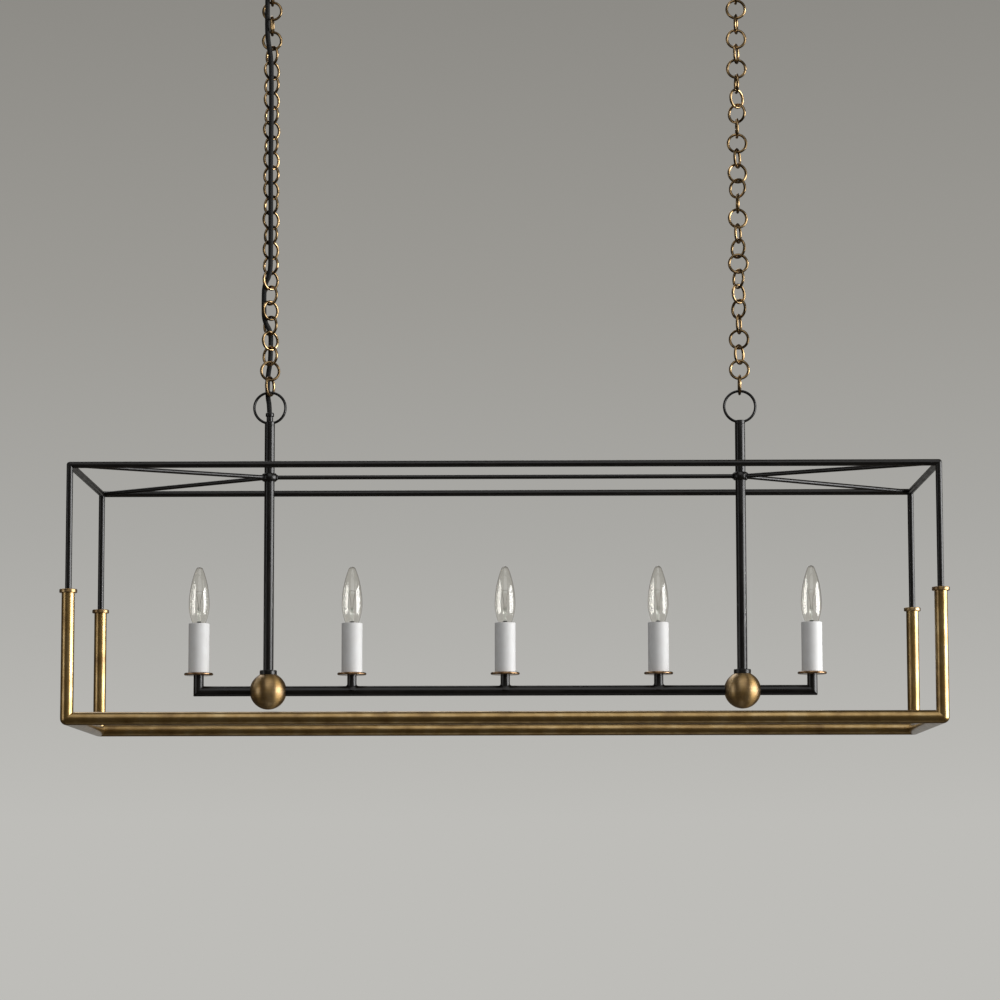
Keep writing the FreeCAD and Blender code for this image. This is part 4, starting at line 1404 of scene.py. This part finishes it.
@dataclass
class Candles:
    """Five candle lights: drip dish, sleeve, lampholder and a clear torpedo bulb."""

    dish_radius: float = 18.2
    dish_thickness: float = 3.2
    dish_bore: float = 5.0
    sleeve_radius: float = 12.95
    sleeve_wall: float = 1.6
    bulb_radius: float = 13.0
    widest: float = 23.0
    bulb_height: float = 71.0
    tip_radius: float = 4.9
    neck_radius: float = 7.6
    neck_height: float = -1.0
    cap_radius: float = 5.9
    cap_top: float = -3.0
    glass: float = 0.7
    press_height: float = 20.0
    pinch: float = 0.62
    pinch_from: float = 9.0
    pinch_run: float = 5.0
    filament_height: float = 39.0
    filament_span: float = 4.2
    lead_radius: float = 0.3
    coil_wire_radius: float = 0.1
    coil_radius: float = 0.2
    coil_turns: int = 24
    coil_rise: float = 1.8
    lead_start: float = 0.9
    wire_guide: Point = (0.05, 1.0, 0.02)

    def dishes(self) -> Piece:
        """Turned dishes with a round edge and a shallow hollow inside it."""
        edge = self.dish_thickness / 2
        rim = self.dish_radius - edge
        outline = np.vstack([[[self.dish_bore, 0], [rim - 0.4, 0]],
                             arc((rim, edge), edge, -90, 90, 10),
                             [[rim - 0.4, 2 * edge], [self.dish_bore, 2 * edge]]])
        row = list(PLACES.candle_x)
        return turned_row(Skin(), outline, row, PLACES.dish_z, 80).piece("drip_pans")

    def sleeve(self, number: int, x: float) -> Piece:
        """A plain tube with eased edges, closed between its outside and its inside."""
        height = PLACES.sleeve_top_z - PLACES.sleeve_z
        inner = self.sleeve_radius - self.sleeve_wall
        outline = rounded([(inner, 0, 0), (self.sleeve_radius, 0, 0.3),
                           (self.sleeve_radius, height, 0.6), (inner, height, 0.5)])
        skin = turned(Skin(), outline, (x, 0, PLACES.sleeve_z), spans=72, grain=Grain.ALONG)
        return skin.piece(f"candle_tube_{number}")

    def bulb_outline(self, inset: float) -> np.ndarray:
        """Half of a torpedo, from the neck to the tip, inset by the glass for the inside.

        Below the widest place one arc narrows to the neck, above it one wide arc narrows to
        the tip, where a small arc tangent to it closes the point.
        """
        reach = self.bulb_height - self.tip_radius - self.widest
        side = ((self.bulb_radius ** 2 + reach ** 2 - self.tip_radius ** 2)
                / 2 / (self.bulb_radius - self.tip_radius))
        rise = self.widest - self.neck_height
        swell = self.bulb_radius - self.neck_radius
        lower = (swell ** 2 + rise ** 2) / 2 / swell
        meet = math.degrees(math.atan2(reach, side - self.bulb_radius))
        neck = -math.degrees(math.asin(rise / lower))
        rows = np.vstack([
            [[self.cap_radius - inset, self.cap_top]],
            arc((self.bulb_radius - lower, self.widest), lower - inset, neck, 0, 24),
            arc((self.bulb_radius - side, self.widest), side - inset, 0, meet, 48)[1:],
            arc((0, self.bulb_height - self.tip_radius), self.tip_radius - inset, meet, 90,
                16)[1:]])
        rows[-1, 0] = 0
        return rows

    def envelope(self, number: int, x: float) -> Piece:
        """The glass: outside and inside surfaces, joined at the neck."""
        outline = np.vstack([self.bulb_outline(0), self.bulb_outline(self.glass)[::-1]])
        skin = turned(Skin(), outline, (x, 0, PLACES.sleeve_top_z), spans=144)
        return skin.piece(f"bulb_envelope_{number}", sharp_deg=50)

    def press(self, number: int, x: float) -> Piece:
        """The glass press: a flared foot, a thin stem and a pinched top.

        A turned stem whose depth shrinks towards the top, so that the pinch is flat.
        """
        outline = rounded([(0, self.cap_top, 0), (4.9, self.cap_top, 0), (1.9, 2.5, 1.5),
                           (1.6, 11.0, 0), (2.3, 14.0, 0.6), (2.3, self.press_height, 0.6),
                           (0, self.press_height, 0)])
        a = full_turn(32)
        r, h = outline[:, :1], outline[:, 1:2]
        thin = 1 - self.pinch * np.clip((h - self.pinch_from) / self.pinch_run, 0, 1)
        points = spun(r, h, a, (x, 0, PLACES.sleeve_top_z), thin)
        return Skin().add(points, wrap_v=True).piece(f"glass_press_{number}")

    def filament(self, number: int, x: float) -> Piece:
        """Two bent supports and the coiled filament between their hooks.

        Each support's middle runs (side * (start + spread * t^2), rise * t) for t from 0 to 1;
        the coil's middle rises as a parabola and its wire turns round that line.
        """
        skin = Skin()
        z0 = PLACES.sleeve_top_z
        foot = self.press_height - 4.0
        spread = self.filament_span - self.lead_start
        t = np.linspace(0, 1, 14)
        for side in (-1, 1):
            line = np.stack([x + side * (self.lead_start + spread * t ** 2), 0 * t,
                             z0 + foot + (self.filament_height - foot) * t], -1)
            self.wire(skin, line, self.lead_radius, 8)
        s = np.linspace(0, 1, 241)
        turn = 2 * math.pi * self.coil_turns * s
        coil = np.stack([x + self.filament_span * (2 * s - 1), self.coil_radius * np.sin(turn),
                         z0 + self.filament_height + self.coil_radius * np.cos(turn)
                         + self.coil_rise * (1 - (2 * s - 1) ** 2)], -1)
        self.wire(skin, coil, self.coil_wire_radius, 5)
        return skin.piece(f"filament_{number}", ROUND_DEG)

    def wire(self, skin: Skin, line: np.ndarray, radius: float, spans: int) -> Skin:
        """Adds a thin wire along a line, its section square to it and its ends closed."""
        points = sections(line, np.gradient(line, axis=0), np.array(self.wire_guide), radius,
                          full_turn(spans))
        return skin.add(points, wrap_v=True)

    def build(self) -> None:
        """Builds and dresses the candles; each bulb's pieces ride on the bulb's own body."""
        finished(self.dishes(), AGED_BRASS, "fixture", "drip_dishes")
        PHENOLIC.dress(frame["nodes"]["lamp_holders"])
        SHELL_BRASS.dress(frame["nodes"]["holder_shells"])
        for number, x in enumerate(PLACES.candle_x, 1):
            bulb = f"bulb_{number}"
            finished(self.sleeve(number, x), WHITE_SLEEVE, "fixture", f"candle_sleeve_{number}")
            finished(self.envelope(number, x), BULB_GLASS, bulb, bulb + "_glass")
            finished(self.press(number, x), PRESS_GLASS, bulb, bulb + "_mount")
            finished(self.filament(number, x), LAMP_WIRE, bulb)
            SHELL_BRASS.dress(frame["nodes"][bulb + "_cap"])


# ------------------------------------------------------------------ studio
@dataclass(frozen=True)
class Lamp:
    """One soft rectangular lamp that faces aim: metres and watts.

    A lamp behind the pendant is kept out of clear glass, which it would fill.
    """

    name: str
    at: Point
    size: tuple[float, float]
    power: float
    through_glass: bool = True
    aim: Point = (0, 0, -0.75)

    def build(self) -> None:
        """Adds the lamp to the scene."""
        data = bpy.data.lights.new(self.name, "AREA")
        data.shape = "RECTANGLE"
        data.size, data.size_y = self.size
        data.energy = self.power
        lamp = bpy.data.objects.new(self.name, data)
        lamp.location = self.at
        way = Vector(self.aim) - Vector(self.at)
        lamp.rotation_euler = way.to_track_quat("-Z", "Y").to_euler()
        lamp.visible_transmission = self.through_glass
        lamp.visible_camera = False
        bpy.context.scene.collection.objects.link(lamp)


@dataclass
class Studio:
    """Plain pale floor and backdrop, soft lamps, and the camera at the photograph's place."""

    focal_px: float = 3347.2
    sensor_mm: float = 36.0
    image_px: float = 1000.0
    place: Point = (0.03235, -4.1696, -1.2031)
    yaw_deg: float = 0.528
    pitch_deg: float = 6.583
    roll_deg: float = -0.105
    floor_z: float = -5.0
    floor_radius: float = 1.0
    pale: str = "#BCBAB6"
    backdrop: tuple[tuple[float, str], ...] = (
        (0.02, "#BEBDB9"), (0.105, "#AAA9A5"), (0.174, "#9C9A95"), (0.26, "#8D8B86"))
    room_light: float = 0.14
    room_gloss: float = 0.045
    room_tone: str = "#FFF0DC"
    backdrop_half_deg: float = 11.0
    backdrop_soft: float = 0.05
    glass_slope: tuple[float, float] = (0.36, 0.7)
    glass_dim: float = 0.4
    lamps: tuple[Lamp, ...] = (
        Lamp("key", (9.2, -1.9, -0.4), (8.8, 6.4), 1400.0),
        Lamp("left", (-3.54, -1.73, -0.9), (1.4, 2.4), 13.0),
        Lamp("overhead", (0.3, -2.62, 1.85), (3.0, 4.0), 36.0),
        Lamp("back", (-1.0, 2.6, 1.9), (3.0, 2.0), 24.0, through_glass=False))

    def camera(self) -> None:
        """Sets the camera from its yaw, pitch and roll: right, up and back are its axes."""
        data = bpy.data.cameras.new("camera")
        data.sensor_width = self.sensor_mm
        data.lens = self.focal_px * self.sensor_mm / self.image_px
        data.clip_end = 100.0
        yaw, pitch, roll = (math.radians(d) for d in (self.yaw_deg, self.pitch_deg,
                                                      self.roll_deg))
        level_right = Vector((math.cos(yaw), math.sin(yaw), 0))
        level_ahead = Vector((-math.sin(yaw), math.cos(yaw), 0))
        ahead = math.cos(pitch) * level_ahead + Vector((0, 0, math.sin(pitch)))
        upright = -math.sin(pitch) * level_ahead + Vector((0, 0, math.cos(pitch)))
        right = math.cos(roll) * level_right + math.sin(roll) * upright
        up = math.cos(roll) * upright - math.sin(roll) * level_right
        camera = bpy.data.objects.new("camera", data)
        camera.matrix_world = Matrix.Translation(self.place) @ Matrix(
            (right, up, -ahead)).transposed().to_4x4()
        bpy.context.scene.collection.objects.link(camera)
        bpy.context.scene.camera = camera

    def world(self) -> None:
        """A pale backdrop for the camera and for glass, and a dim room for matt surfaces.

        The backdrop falls off upwards, away from its light: its colour goes by the sine of a
        direction's height.

        A glossy surface shows the backdrop too, where it stands: straight behind the pendant,
        within the half angle. Elsewhere it shows the dim room. Glass that bends its view steeply
        up or down, as at a bulb's tip, sees past the backdrop's edge.
        """
        world = bpy.data.worlds.new("studio")
        bpy.context.scene.world = world
        world.use_nodes = True
        tree = world.node_tree
        tree.nodes.clear()
        rays = add(tree, "ShaderNodeLightPath").outputs
        way = add(tree, "ShaderNodeSeparateXYZ", {"Vector": own_place(tree)}).outputs
        edge = math.cos(math.radians(self.backdrop_half_deg))
        behind = span(tree, way["Y"], 0.0, 1.0, edge - self.backdrop_soft,
                      edge + self.backdrop_soft)
        mirrored = joined(tree, "MULTIPLY", rays["Is Glossy Ray"], behind)
        slope = joined(tree, "ABSOLUTE", way["Z"])
        level = span(tree, slope, 1.0, self.glass_dim, *self.glass_slope)
        through = joined(tree, "MULTIPLY", rays["Is Transmission Ray"], level)
        direct = joined(tree, "MAXIMUM", rays["Is Camera Ray"], through)
        seen = joined(tree, "MAXIMUM", direct, mirrored)
        pale, plain, room = (
            add(tree, "ShaderNodeBackground", {"Color": colour, "Strength": strength}).outputs[0]
            for colour, strength in ((ramp(tree, way["Z"], list(self.backdrop)), 1.0),
                                     (linear("#FFFFFF"), self.room_light),
                                     (linear(self.room_tone), self.room_gloss)))
        gloss = add(tree, "ShaderNodeMixShader", {0: rays["Is Glossy Ray"], 1: plain, 2: room})
        mixed = add(tree, "ShaderNodeMixShader", {0: seen, 1: gloss.outputs[0], 2: pale})
        add(tree, "ShaderNodeOutputWorld", {"Surface": mixed.outputs[0]})

    def floor(self) -> None:
        """A round pale floor well below the pendant."""
        a = full_turn(96)
        r = np.array([0.0, self.floor_radius])[:, None] / MM
        z = self.floor_z / MM
        points = spun(r, 0 * r, a, (0, 0, z))
        below = (0, 0, z - 100)
        floor = Skin().add(points, wrap_v=True, inside=below).piece("floor")
        made = bpy.data.materials.new("painted floor")
        made.use_nodes = True
        shader = made.node_tree.nodes["Principled BSDF"]
        shader.inputs["Base Color"].default_value = linear(self.pale)
        shader.inputs["Roughness"].default_value = 0.9
        floor.data.materials.append(made)

    def build(self) -> None:
        """Builds the whole studio."""
        self.camera()
        for lamp in self.lamps:
            lamp.build()
        self.world()
        self.floor()
        bpy.context.scene.view_settings.view_transform = "Standard"


def main() -> None:
    """Builds the studio and the sub-assemblies in order."""
    logging.basicConfig(level=logging.INFO, format="%(name)s: %(message)s")
    Studio().build()
    SupplyCord().build()
    CeilingMounts().build()
    for side in Side:
        Chain(side, LINK_TURNS[side], open_links=OPEN_LINKS[side]).build()
    Stems().build()
    OpenFrame().build()
    Arm().build()
    Candles().build()


if __name__ == "__main__":
    main()
